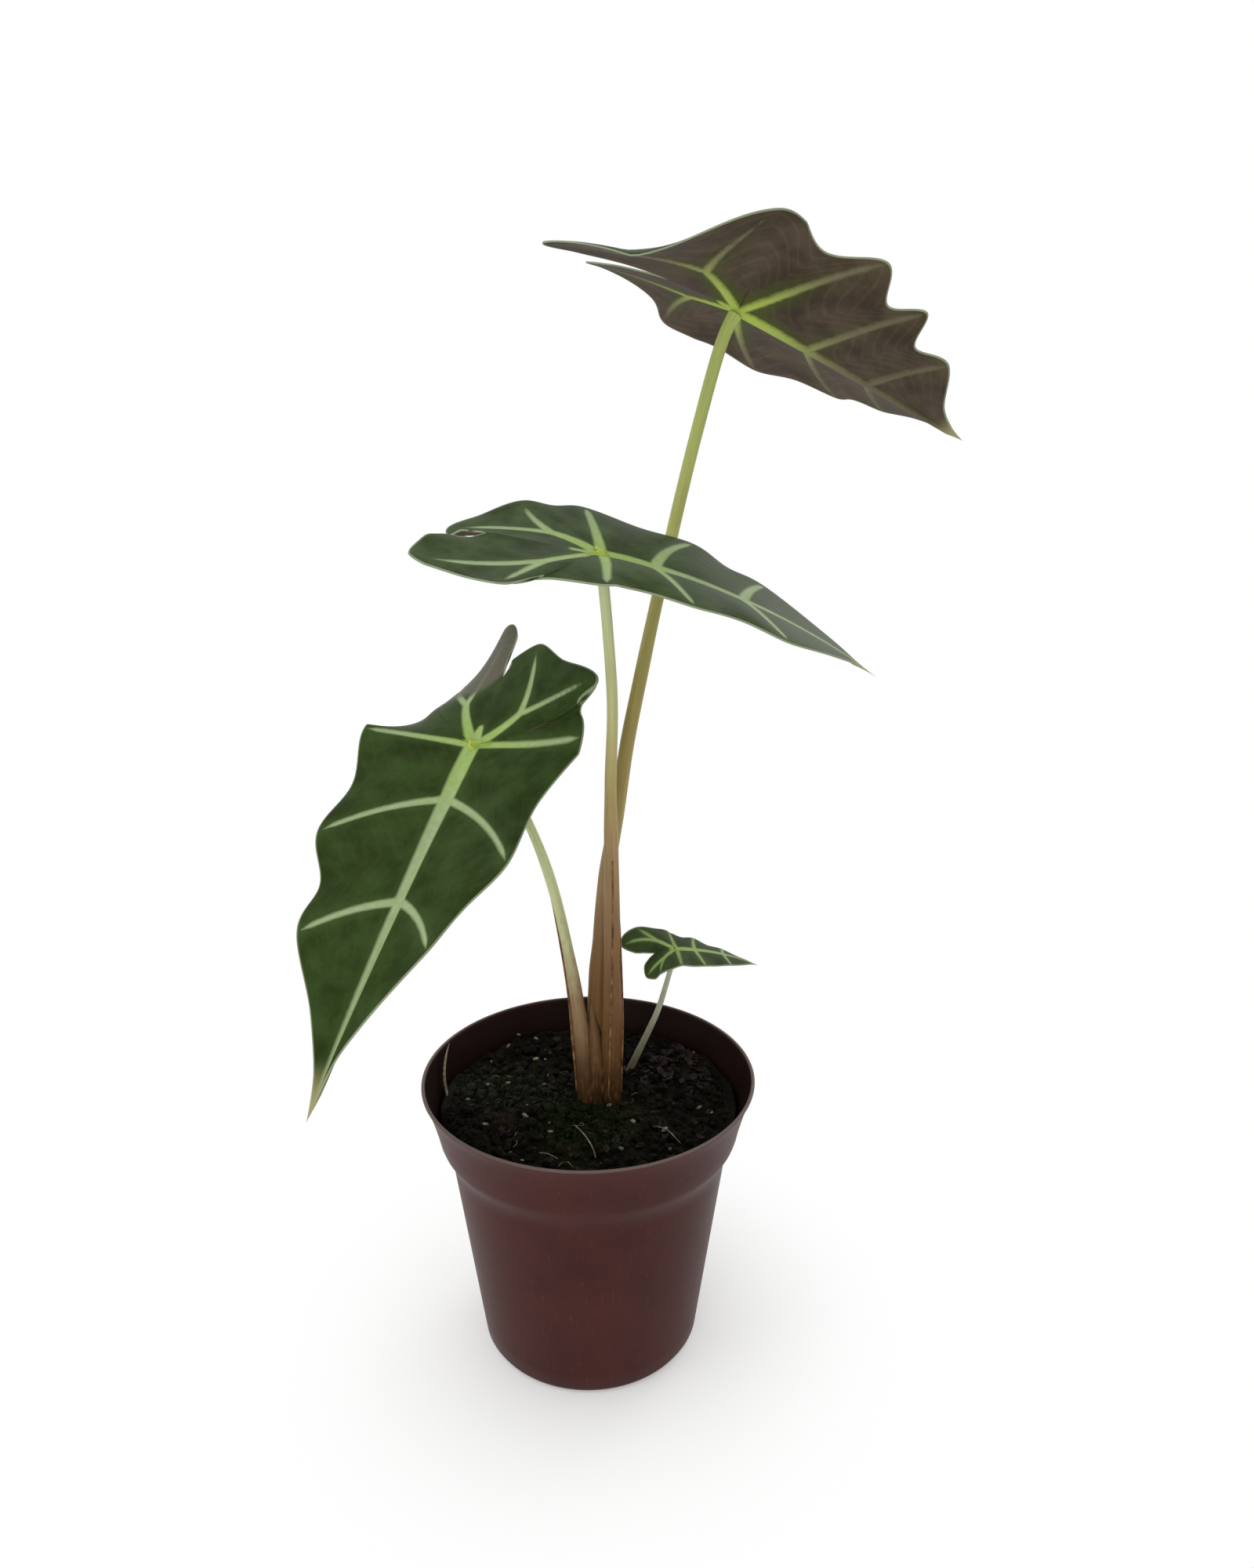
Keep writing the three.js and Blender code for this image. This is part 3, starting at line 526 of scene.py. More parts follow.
# Dry fibres: thin curved threads of coir, and one dead spike that leans on the pot's left wall
fibre_lines = [
    [(-4.1, -20.7, 96.2, 0.2), (-0.6, -27.3, 96.8, 0.28), (2.6, -34.9, 96.2, 0.25), (3.5, -38.5, 95.4, 0.12)],
    [(-15.5, -36, 95.6, 0.15), (-12.6, -38.2, 96.9, 0.2), (-9, -39.5, 95.8, 0.12)],
    [(24, -20, 95.4, 0.15), (27.5, -24, 96.8, 0.22), (32, -30.5, 95.8, 0.12)],
    [(-52.3, 3, 93, 0.6), (-54, 8, 98, 0.6), (-54.2, 14, 102.5, 0.45), (-53.4, 19, 106, 0.1)],
]
for k in range(12):
    x, y = scatter_place(46)
    turn, run = random.uniform(0, math.tau), random.uniform(2.5, 6)
    fibre_lines.append([(x + (f - 0.5) * run * math.cos(turn + 1.2 * f * (k % 3 - 1)),
                         y + (f - 0.5) * run * math.sin(turn + 1.2 * f * (k % 3 - 1)),
                         soil_height(x, y) + 0.6 + 0.9 * math.sin(f * math.pi), 0.1)
                        for f in (0, 0.35, 0.7, 1)])


def fibre(bm, number):
    grow_tube(bm, smooth_run(fibre_lines[number], 1.3), 5)


scattered("dry_fibres", len(fibre_lines), fibre, husk, smooth=True)

# Stalks: fleshy round leaf stalks that rise from one crown. Each widens at its
# foot into a sheath that wraps the next, pale green above and tan to pinkish
# brown below, with fine lengthwise lines under a thin waxy skin.

# From the foot in the soil up to the leaf: x, y, z and radius in mm
STALKS = {
    "top": [
        (4.5, 6, 72, 4.2), (4.5, 6, 94, 4.5), (4, 6, 123, 4.5), (4.2, 6.5, 140, 4.1), (5.3, 7.2, 156, 3.5),
        (6.3, 8.6, 175, 2.8), (10.2, 10.8, 199, 2.6), (13.9, 14, 224, 2.5), (18.2, 18, 245, 2.4),
        (23.8, 22, 271, 2.2), (36.7, 27.5, 326, 2.1), (45.9, 29.5, 358, 2.1), (49.8, 30, 365, 2.4)],
    "middle": [
        (7.8, 0.2, 72, 3.8), (7.8, 0.2, 97, 3.9), (8.6, 0, 126, 3.7), (8.7, 0.3, 156, 2.9),
        (8.5, 0.5, 193, 2.5), (8.4, -2.5, 214, 2), (9.2, -9, 243, 1.8), (7.9, -17, 269, 1.7),
        (6.8, -20.2, 283, 1.7), (6.3, -20.9, 290.9, 1.8)],
    "left": [
        (-0.2, 0.6, 72, 3.4), (-0.6, 0.6, 97, 3.6), (-2.2, 2, 116, 3.3), (-4.6, 4.2, 134, 2.6),
        (-8, 8, 153, 2), (-13.4, 12, 175, 1.9), (-20, 14.5, 193, 1.7), (-27.5, 13.5, 209, 1.7),
        (-34, 9, 220, 1.8), (-38.1, 5.1, 225.7, 1.9)],
    "small": [
        (10.5, 19.5, 82, 1.4), (14.8, 19.5, 94, 1.4), (22, 19.2, 111, 1.2), (25.5, 18.8, 120, 1.1),
        (30, 18, 137, 0.95), (32, 17, 145.5, 0.9)],
}


# Stalk skin: smooth, waxy and slightly see-through, so its colour is soft, with lengthwise lines
# about 0.5 mm apart
def stalk_skin(name, colours, blush):
    skin = new_material(name)
    place = add(skin, "TexCoord").outputs["Object"]
    axes = add(skin, "SeparateXYZ", {0: place})
    height = add(skin, "MapRange", {"Value": axes.outputs["Z"], "From Min": 0.09, "From Max": 0.37})
    uneven = add(skin, "TexNoise", {"Vector": place, "Scale": 70.0, "Detail": 3.0})
    spread = add(skin, "MapRange", {"Value": uneven.outputs["Fac"], "To Min": -0.035, "To Max": 0.035})
    shifted = add(skin, "Math", {0: height.outputs[0], 1: spread.outputs[0]}, operation="ADD")
    tone = add(skin, "ValToRGB", {"Fac": shifted.outputs[0]})
    tone.color_ramp.elements.remove(tone.color_ramp.elements[1])
    for i, (z, colour) in enumerate(colours):
        stop = tone.color_ramp.elements[0] if i == 0 else tone.color_ramp.elements.new(0.5)
        stop.position = (z - 90) / 280
        stop.color = linear(colour)
    round_way = add(skin, "Attribute", attribute_name="around")
    lines = add(skin, "CombineXYZ", {"X": round_way.outputs["Fac"], "Y": 0.0, "Z": axes.outputs["Z"]})
    drawn = add(skin, "Mapping", {"Vector": lines.outputs[0], "Scale": (46.0, 1.0, 40.0)})
    fibre = add(skin, "TexNoise", {"Vector": drawn.outputs[0], "Scale": 1.0, "Detail": 3.0, "Roughness": 0.6})
    shade = add(skin, "MapRange",
                {"Value": fibre.outputs["Fac"], "From Min": 0.35, "From Max": 0.65, "To Min": 0.8,
                 "To Max": 1.12})
    lined = add(skin, "VectorMath", {0: tone.outputs[0], "Scale": shade.outputs[0]}, operation="SCALE")
    # freckles of the sheath, pinkish brown and up to 3 mm long, only low down
    freckle_map = add(skin, "Mapping", {"Vector": place, "Scale": (900.0, 900.0, 260.0)})
    freckle = add(skin, "TexNoise", {"Vector": freckle_map.outputs[0], "Scale": 1.0, "Detail": 2.0})
    low = add(skin, "MapRange",
              {"Value": axes.outputs["Z"], "From Min": 0.20, "From Max": 0.10, "To Max": 0.75})
    mark = add(skin, "MapRange", {"Value": freckle.outputs["Fac"], "From Min": 0.5, "From Max": 0.75})
    marks = add(skin, "Math", {0: low.outputs[0], 1: mark.outputs[0]}, operation="MULTIPLY")
    blushed = add(skin, "MixRGB",
                  {"Fac": marks.outputs[0], "Color1": lined.outputs[0], "Color2": linear(blush)})
    ridge = add(skin, "Bump", {"Height": fibre.outputs["Fac"], "Strength": 0.35, "Distance": 0.0003})
    surface = add(skin, "BsdfPrincipled", {
        "Base Color": blushed.outputs[0], "Roughness": 0.42, "IOR": 1.42, "Specular IOR Level": 0.25,
        "Subsurface Weight": 0.12, "Subsurface Radius": (0.004, 0.003, 0.001), "Subsurface Scale": 0.5,
        "Normal": ridge.outputs[0]})
    add(skin, "OutputMaterial", {"Surface": surface.outputs[0]})
    return skin


# Colour stations by height in mm. Painted light: the top stalk's pale stations from 271 to 366 mm are
# lightened beyond its own green to offset the shade under the top leaf; the darkest stations at 92 mm are
# partly the stalks' own browner foot and partly painted shade where they enter the soil.
STALK_COLOURS = {
    "top": ([(92, "#3a2a17"), (100, "#5c4427"), (112, "#65491f"), (140, "#715029"), (156, "#785a32"),
             (175, "#987d56"), (199, "#a19057"), (224, "#998950"), (245, "#aaa573"), (271, "#c4cda8"),
             (300, "#dae8d6"), (345, "#d4e4ce"), (366, "#aab868")], "#7a5436"),
    "middle": ([(92, "#33240f"), (100, "#4a321a"), (112, "#5e4325"), (140, "#6f512d"), (170, "#886c48"),
                (193, "#998158"), (214, "#a3935c"), (243, "#beb384"), (269, "#c2c884"), (285, "#bcc796")],
                "#80553e"),
    "left": ([(92, "#403018"), (102, "#523a20"), (112, "#684e31"), (130, "#957c5a"), (150, "#bfbb8c"),
              (175, "#cbd49e"), (205, "#c3cf94"), (226, "#b0c078")], "#7b5040"),
    "small": ([(92, "#4c4631"), (104, "#7c7a60"), (120, "#a9aa94"), (146, "#c2c4ac")], "#8a7a66"),
}
skins = {name: stalk_skin("waxy_stalk_skin_" + name, *colours) for name, colours in STALK_COLOURS.items()}
for name, stations in STALKS.items():
    bm = bmesh.new()
    run = smooth_run(stations, 2.0)
    # the end stops short of the blade's upper face
    back = run[-2, :3] - run[-1, :3]
    run[-1, :3] += back / np.linalg.norm(back) * 0.6 * run[-1, 3]
    grow_tube(bm, run, 28)
    bmesh.ops.recalc_face_normals(bm, faces=bm.faces)
    stalk = new_piece("stalk_" + name, bm, skins[name])
    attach(stalk, "root")
    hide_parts("petiole_" + name)

# Sheath tissue that joins the feet of the stalks in front, ending in a narrow notch
bm = bmesh.new()
grow_tube(bm, smooth_run([(3.1, -0.3, 90, 3.3), (3.1, -0.3, 97, 3.4), (3, 0, 108, 3.1), (2.4, 1.1, 118, 2.5),
                          (1.6, 2.5, 126, 1.5), (1.1, 3.4, 132, 0.4)], 1.5), 28)
bmesh.ops.recalc_face_normals(bm, faces=bm.faces)
web = new_piece("sheath_web", bm, skins["middle"])
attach(web, "root")

# The sheaths' free edges: papery strips, dried red-brown, along the left stalk and up the front
# of the middle one
papery = new_material("papery_sheath_edge")
place = add(papery, "TexCoord").outputs["Object"]
tint = add(papery, "TexNoise", {"Vector": place, "Scale": 300.0, "Detail": 3.0})
tone = add(papery, "ValToRGB", {"Fac": tint.outputs["Fac"]})
tone.color_ramp.elements[0].position, tone.color_ramp.elements[0].color = 0.35, linear("#4a2a1a")
tone.color_ramp.elements[1].position, tone.color_ramp.elements[1].color = 0.7, linear("#946c48")
surface = add(papery, "BsdfPrincipled", {
    "Base Color": tone.outputs[0], "Roughness": 0.6, "Specular IOR Level": 0.2})
add(papery, "OutputMaterial", {"Surface": surface.outputs[0]})
bm = bmesh.new()
for line in (
        [(-4.3, -0.3, 97, 0.4), (-5.6, 0.7, 116, 0.5), (-7.1, 2.9, 134, 0.42), (-9.8, 6.7, 151, 0.3),
         (-13.2, 10.1, 169, 0.12)],
        [(7.2, -3.95, 97, 0.3), (8.1, -3.9, 126, 0.33), (8.9, -2.8, 156, 0.3), (9, -2.15, 172, 0.28),
         (9, -2.1, 187, 0.2)],
        [(11.8, -0.3, 97, 0.3), (12.4, -0.5, 126, 0.35), (11.7, -0.1, 156, 0.25), (11, 0.2, 172, 0.12)]):
    grow_tube(bm, smooth_run(line, 2.0), 8)
bmesh.ops.recalc_face_normals(bm, faces=bm.faces)
edges = new_piece("sheath_edges", bm, papery)
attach(edges, "root")

# Leaf blades: leathery arrow-shaped leaves with two back lobes and a scalloped
# margin. Above they are dark green with broad silvery veins; below purple-brown
# with raised veins. Each is one thin grown sheet held by its stalk.

# y runs along the midrib from the stalk, x out from it; mm and degrees, as in the solid part
LEAVES = {
    "left": dict(
        length=131, sinus=31.4, starts=(0, 23, 61.5), inner=(0.22, 0.25), wave=1.6,
        at=(-38.1, 5.1, 225.7), heading=249.1, pitch=-36, roll=9.4, droop=11.8, turn=6.6,
        right=dict(
            lobe=(8.4, -54), shoulder=(41, -34.6), bulge=(-4.2, -1),
            laterals=((39.3, 2), (35.1, 46.4), (25.9, 80.4)), notches=(4.6, 2.2, 2.4),
            tail=((12.4, 29.3), (4, 14)), fold=(-52.5, 18.5, 27.5), arch=(-55.7, -5.9, -3.1), lift=-38.8),
        left=dict(
            lobe=(15.9, -39.4), shoulder=(46.3, -18.6), bulge=(-0.8, 0.2),
            laterals=((40.7, -4.3), (38, 48.7), (27.5, 79.6)), notches=(5.6, 6.2, 3.7),
            tail=((12.5, 28.5), (4.1, 14.1)), fold=(58.8, -8.9, 48.3), arch=(-17.7, -0.6, -40), lift=22.9)),
    "middle": dict(
        length=95.5, broad=1.55, sinus=35.3, starts=(0, 16.5, 46), inner=(0.2, 0.26), wave=0.5,
        at=(6.3, -20.9, 290.9), heading=9.8, pitch=-12.5, roll=-13.7, droop=24, turn=2.6,
        right=dict(
            lobe=(27.1, -52.2), shoulder=(37.9, -29.1), bulge=(-1.6, -0.6),
            laterals=((34.3, -2.4), (32.7, 25.4), (26.9, 58.2)), notches=(9.1, 2.7, 4),
            tail=((12.3, 18.1), (3.5, 8)), fold=(-55.4, -13.4, -19.3), arch=(32.5, -18.6, -19.9), lift=-8.9),
        left=dict(
            lobe=(17.5, -44.8), shoulder=(34.8, -21.7), bulge=(0.7, -1.1),
            laterals=((38.8, -2.3), (35.8, 32.2), (25.7, 55.8)), notches=(-0.1, 1.1, 1.5),
            tail=((13.5, 17.9), (3.5, 8)), fold=(12.4, 35.2, 21.4), arch=(38.2, -7.3, 10.9), lift=11)),
    "top": dict(
        length=88, sinus=25.5, starts=(0, 26.5, 50), inner=(0.19, 0.44), wave=0.6,
        at=(49.8, 30, 365), heading=12, pitch=-25, roll=2, droop=5, turn=15,
        right=dict(
            lobe=(15.5, -66.5), shoulder=(47.5, -10.5), bulge=(11, 2.5),
            laterals=((47.5, 28.5), (42.5, 48.5), (31, 65.5)), notches=(7.5, 7.5, 7.5),
            tail=((12, 13), (4, 6.5)), fold=(9, 14, 17), arch=(-9.5, 27, 1), lift=12.5),
        left=dict(
            lobe=(14, -49), shoulder=(47, -12.5), bulge=(-0.5, 7),
            laterals=((48.5, 23.5), (41, 50.5), (31, 65)), notches=(6, 6, 6), tail=((13, 15), (4.5, 7.5)),
            fold=(7, 1.5, 9.5), arch=(-16.5, -15, -12), lift=14)),
    "small": dict(
        length=32.5, sinus=8.5, starts=(0, 7, 18), inner=(0.19, 0.44), wave=0.3,
        at=(32, 17, 145.5), heading=10, pitch=-5, roll=-11.5, droop=21, turn=-3.5,
        right=dict(
            lobe=(8, -16.5), shoulder=(11.5, -10.5), bulge=(1, -0.5),
            laterals=((12, -0.5), (11, 9), (7, 20)), notches=(0.4, 0.4, 0.4), tail=((3.5, 6.5), (1.2, 2.5)),
            fold=(-22, -11.5, -19), arch=(-11.5, -11, -11.5), lift=36),
        left=dict(
            lobe=(8, -16.5), shoulder=(11.5, -10.5), bulge=(1.5, -1),
            laterals=((12, -0.5), (11, 9), (7, 20)), notches=(0.4, 0.4, 0.4), tail=((3.5, 6.5), (1.2, 2.5)),
            fold=(66, 14, 0), arch=(5.5, 5, -9.5), lift=31.5)),
}


def pattern_rows(leaf, half):
    """Rows of the flat pattern from the sinus to the tip: start on the midrib, x and y at the margin."""
    length, sinus = leaf["length"], leaf["sinus"]
    lobe_x, lobe_y = half["lobe"]
    rows = [(-sinus, 0, -sinus), (-sinus * 0.8, lobe_x * leaf["inner"][0], -sinus + (lobe_y + sinus) * 0.35),
            (-sinus * 0.5, lobe_x * leaf["inner"][1], -sinus + (lobe_y + sinus) * 0.75), (0, lobe_x, lobe_y)]
    before = rows[3]
    tips = [(0, *half["shoulder"])] + [(s, *tip) for s, tip in zip(leaf["starts"], half["laterals"])]
    for i, vein in enumerate(tips):
        middle = [(a + b) / 2 for a, b in zip(before, vein)]
        if i == 0:
            middle[1] += half["bulge"][0]
            middle[2] += half["bulge"][1]
        else:
            run_x, run_y = vein[1] - before[1], vein[2] - before[2]
            run = math.hypot(run_x, run_y)
            middle[1] -= run_y / run * half["notches"][i - 1]
            middle[2] += run_x / run * half["notches"][i - 1]
        rows += [tuple(middle), vein]
        before = vein
    (wide_1, back_1), (wide_2, back_2) = half["tail"]
    rows += [(length * 0.8, wide_1, length - back_1), (length * 0.93, wide_2, length - back_2),
             (length, 0, length)]
    return np.array(rows, float)


def flat_place(rows, t, w):
    """Flat x and y at row t and share w of the way from the midrib to the margin."""
    last = len(rows) - 1
    i = np.clip(np.floor(t).astype(int), 0, last - 1)
    f = (t - i)[:, None]
    before, start, end, after = (rows[np.clip(i + k, 0, last)] for k in (-1, 0, 1, 2))
    row = ((2 * f ** 3 - 3 * f ** 2 + 1) * start + (f ** 3 - 2 * f ** 2 + f) * (end - before) / 2
           + (3 * f ** 2 - 2 * f ** 3) * end + (f ** 3 - f ** 2) * (after - start) / 2)
    reach_x = np.maximum(row[:, 1], 0)
    reach_y = row[:, 2] - row[:, 0]
    early = 2 * w * (1 - w)
    return ((early * 0.58 + w * w) * reach_x,
            row[:, 0] + (early * np.where(reach_y > 0, 0.3, 0.42) + w * w) * reach_y)


def rising(value, start, run):
    """0 up to the start, then 1 after the run."""
    return np.clip((value - start) / run, 0, 1)


def falling(value, end, run):
    """1 until a run before the end, then 0."""
    return np.clip((end - value) / run, 0, 1)


def leaf_place(leaf, side, x, y, t, w):
    """Place in mm of flat points on the drooping, folded and arched leaf."""
    half = leaf["right"] if side > 0 else leaf["left"]
    length = leaf["length"]
    rate = math.radians(leaf["droop"]) / length
    level = (leaf["right"]["lift"] + leaf["left"]["lift"]) / 2
    out = np.clip(x / (0.15 * length), 0, 1)
    lift = level + (half["lift"] - level) * out * out * (3 - 2 * out)
    rate = np.where(y >= 0, rate, np.radians(lift) / (0.4 * length) + 1e-9)
    forward, height, lean = np.sin(rate * y) / rate, -(1 - np.cos(rate * y)) / rate, -rate * y
    to_tip = np.clip(y / length, 0, 1)
    to_lobe = np.clip(-y / length, 0, 0.5) / 0.4
    fold, arch = (np.radians(stalk + (tip - stalk) * to_tip + (lobe - stalk) * to_lobe)
                  for lobe, stalk, tip in (half["fold"], half["arch"]))
    arch = arch / (0.35 * length) + 1e-9
    out = (np.sin(fold + arch * x) - np.sin(fold)) / arch
    rise = -(np.cos(fold + arch * x) - np.cos(fold)) / arch
    waving = falling(t, 13, 3) * rising(t, 2, 2)
    rise = rise + leaf["wave"] * waving * w ** 2.2 * np.cos(np.pi * (t - 3))
    ahead, above = forward - rise * np.sin(lean), height + rise * np.cos(lean)
    rate = math.radians(leaf["turn"]) / length
    swing = rate * np.maximum(ahead, 0)
    onwards = np.where(ahead > 0, np.sin(swing) / rate, ahead)
    aside = np.where(ahead > 0, (1 - np.cos(swing)) / rate, 0)
    heading, pitch, roll = (math.radians(leaf[k]) for k in ("heading", "pitch", "roll"))
    along = np.array([math.cos(pitch) * math.cos(heading), math.cos(pitch) * math.sin(heading),
                      math.sin(pitch)])
    level = np.array([math.sin(heading), -math.cos(heading), 0])
    upright = np.cross(level, along)
    right = level * math.cos(roll) - upright * math.sin(roll)
    up = upright * math.cos(roll) + level * math.sin(roll)
    return (np.array(leaf["at"]) + (onwards - side * out * np.sin(swing))[:, None] * along
            + (aside + side * out * np.cos(swing))[:, None] * right + above[:, None] * up), up


def from_vein(x, y, line, half_widths):
    """Distance in mm of flat points from the edge of one vein, negative within it."""
    best = np.full(len(x), 99.0)
    for (ax, ay), (bx, by), wa, wb in zip(line[:-1], line[1:], half_widths[:-1], half_widths[1:]):
        dx, dy = bx - ax, by - ay
        share = np.clip(((x - ax) * dx + (y - ay) * dy) / (dx * dx + dy * dy + 1e-12), 0, 1)
        away = np.hypot(x - ax - share * dx, y - ay - share * dy) - (wa + (wb - wa) * share)
        best = np.minimum(best, away)
    return best


# rows of the pattern that end in a vein: the lobe's tip, the shoulder and three laterals
VEIN_ROWS = (3, 5, 7, 9, 11)
LAST_ROW = 14
VEIN_POINTS = 40
FORK = 18
FULL_LENGTH = 131


def leaf_veins(leaf, rows):
    """Main veins of one half in the flat pattern: line and half width along it, in mm."""
    length = leaf["length"]
    scale = (0.35 + 0.65 * (length / FULL_LENGTH)) * leaf.get("broad", 1)
    share = np.linspace(0, 1, VEIN_POINTS)

    def row(t):
        return np.stack(flat_place(rows, np.full(VEIN_POINTS, float(t)), share), 1)

    def taper(root, end, stop):
        """Half widths of a vein that runs out a little before the margin."""
        return np.interp(share, [0, 0.4, stop - 0.12, stop, 1],
                         [root, (root + end) / 2, end, -0.5, -3]) * scale

    lobe, shoulder = row(VEIN_ROWS[0]), row(VEIN_ROWS[1])
    # one basal vein that forks: on to the lobe's tip, and out to the shoulder
    trunk = lobe * 0.55 + shoulder * 0.45
    parting = np.clip((share - share[FORK]) / (1 - share[FORK]), 0, 1)[:, None] ** 0.8
    veins = [(trunk + (lobe - trunk) * parting, taper(1.8, 0.75, 0.95)),
             (trunk + (shoulder - trunk) * parting, taper(1.8, 0.5, 0.95))]
    veins += [(row(t), taper(1.4, 0.7, 0.985)) for t in VEIN_ROWS[2:]]
    spine_y = np.linspace(-leaf["sinus"] * 0.25, length, 60)
    width = np.interp(spine_y / length, [-0.06, 0, 0.1, 0.35, 0.6, 0.8, 0.93, 1],
                      [1.0, 2.7, 2.8, 2.2, 1.7, 1.2, 0.75, 0.3])
    return veins, (np.stack([np.zeros(60), spine_y], 1), width * scale)


# Leaf skin. Above: dark green, broad silvery veins that are yellower near the stalk, faint side veins 3 to 4
# mm apart, a satin wax surface with a painted greyish sheen. Below: purple-brown with green beside the raised
# veins.
leaf_skin = new_material("leathery_leaf")
place = add(leaf_skin, "TexCoord").outputs["Object"]
# what a blade's mesh says of each spot: distances in mm, and shares from 0 to 1
vein_away, fine_vein, fade, near_stalk, to_tip, margin, under, rolled, bloom = (
    add(leaf_skin, "Attribute", attribute_name=n).outputs["Fac"]
    for n in ("vein", "fine", "fade", "stalk", "tip", "margin", "under", "rolled", "bloom"))
# mottling some 12 mm and 2 mm across
mottle = add(leaf_skin, "TexNoise",
             {"Vector": place, "Scale": 80.0, "Detail": 4.0, "Roughness": 0.6}).outputs["Fac"]
speckle = add(leaf_skin, "TexNoise", {"Vector": place, "Scale": 500.0, "Detail": 3.0}).outputs["Fac"]
# the veins' edges are a little ragged
ragged = add(leaf_skin, "MapRange", {"Value": speckle, "To Min": -0.25, "To Max": 0.25})
vein_edge = add(leaf_skin, "Math", {0: vein_away, 1: ragged.outputs[0]}, operation="ADD").outputs[0]
soft_edge = add(leaf_skin, "Math", {0: vein_away, 1: speckle}, operation="ADD").outputs[0]
waves = add(leaf_skin, "Math", {0: fine_vein, 1: 0.5}, operation="PINGPONG").outputs[0]
# shares that ease from one value to another: what is read, from, to, and the share at each end
eased = {}
for name, value, low, high, at_low, at_high in (
        ("is vein", vein_edge, 0.65, -0.6, 0, 1), ("side vein", waves, 0.3, 0.5, 0, 1),
        ("mottled", mottle, 0.3, 0.7, 0, 1), ("beside vein", vein_away, 3.5, 0, 0, 0.35),
        ("yellower vein", near_stalk, 34, 4, 0, 1), ("paler vein", speckle, 0.35, 0.7, 0, 0.35),
        ("green by vein", vein_away, 7, 0, 0, 1), ("green by stalk", near_stalk, 42, 4, 0.1, 0.9),
        ("yellow vein below", near_stalk, 42, 3, 0, 1), ("vein below", soft_edge, 1.7, -0.1, 0, 1),
        ("firm by stalk", near_stalk, 70, 12, 0.45, 1), ("patchy_sheen", mottle, 0.2, 0.8, 0, 0.1),
        ("dull back", speckle, 0.2, 0.8, 0.8, 1), ("dry tip", to_tip, 0.86, 0.97, 0, 0.85),
        ("pale margin", margin, 0.55, 0.1, 0, 0.7), ("roughness", mottle, 0.2, 0.8, 0.42, 0.56)):
    eased[name] = add(leaf_skin, "MapRange", {
        "Value": value, "From Min": low, "From Max": high, "To Min": at_low, "To Max": at_high},
        interpolation_type="SMOOTHSTEP").outputs[0]
line = add(leaf_skin, "Math", {0: eased["side vein"], 1: fade}, operation="MULTIPLY").outputs[0]
# products of two shares, or of a share and its strength
joint = {}
for name, one, two in (
        ("line above", line, 0.04), ("line below", line, 0.06),
        ("green below", eased["green by vein"], eased["green by stalk"]),
        ("vein below", eased["vein below"], eased["firm by stalk"]),
        ("bloom", bloom, eased["patchy_sheen"]), ("rolled", rolled, eased["dull back"]),
        ("rougher below", under, 0.1)):
    joint[name] = add(leaf_skin, "Math", {0: one, 1: two}, operation="MULTIPLY").outputs[0]
# each tone is laid on in coats, one over the other
tones = {}
for name, ground, coats in (
        ("blade above", "#23300b", ((eased["mottled"], "#344620"), (joint["line above"], "#55703c"),
                                    (eased["beside vein"], "#3f5229"))),
        ("vein above", "#8fa173", ((eased["yellower vein"], "#90ac57"), (eased["paler vein"], "#a9b794"))),
        ("blade below", "#3a3027", ((eased["mottled"], "#524639"), (joint["line below"], "#8f8672"),
                                    (joint["green below"], "#46521d"))),
        ("vein below", "#787258", ((eased["yellow vein below"], "#a5b856"),))):
    tones[name] = linear(ground)
    for share, colour in coats:
        tones[name] = add(leaf_skin, "MixRGB", {
            "Fac": share, "Color1": tones[name], "Color2": linear(colour)}).outputs[0]
# both faces, then a painted greyish sheen on the two leaves seen at a low angle, the rolled lobe's strip
# painted in its dull back's colour, the dry tip and the pale margin
colour = tones["blade above"]
for share, coat in (
        (eased["is vein"], tones["vein above"]), (joint["bloom"], linear("#98a084")),
        (joint["rolled"], linear("#5f5d50"))):
    colour = add(leaf_skin, "MixRGB", {"Fac": share, "Color1": colour, "Color2": coat}).outputs[0]
below = add(leaf_skin, "MixRGB", {
    "Fac": joint["vein below"], "Color1": tones["blade below"], "Color2": tones["vein below"]}).outputs[0]
for share, coat in (
        (under, below), (eased["dry tip"], linear("#a39a6c")), (eased["pale margin"], linear("#9aa386"))):
    colour = add(leaf_skin, "MixRGB", {"Fac": share, "Color1": colour, "Color2": coat}).outputs[0]
# quilting between the side veins, and skin cells 0.4 mm across, drawn a little coarse to show
cells = add(leaf_skin, "TexVoronoi", {"Vector": place, "Scale": 1400.0}).outputs["Distance"]
quilt = add(leaf_skin, "Bump", {"Height": line, "Strength": 0.1, "Distance": 0.0003}, invert=True)
skin_bump = add(leaf_skin, "Bump", {
    "Height": cells, "Strength": 0.12, "Distance": 0.0002, "Normal": quilt.outputs[0]})
gloss = add(leaf_skin, "Math", {0: eased["roughness"], 1: joint["rougher below"]}, operation="ADD")
surface = add(leaf_skin, "BsdfPrincipled", {
    "Base Color": colour, "Roughness": gloss.outputs[0], "IOR": 1.45, "Specular IOR Level": 0.06,
    "Normal": skin_bump.outputs[0]})
add(leaf_skin, "OutputMaterial", {"Surface": surface.outputs[0]})


ROW_STEPS = 22
HALF_COLUMNS = 36
MARGIN_POINTS = 300
THICKNESS = 0.9


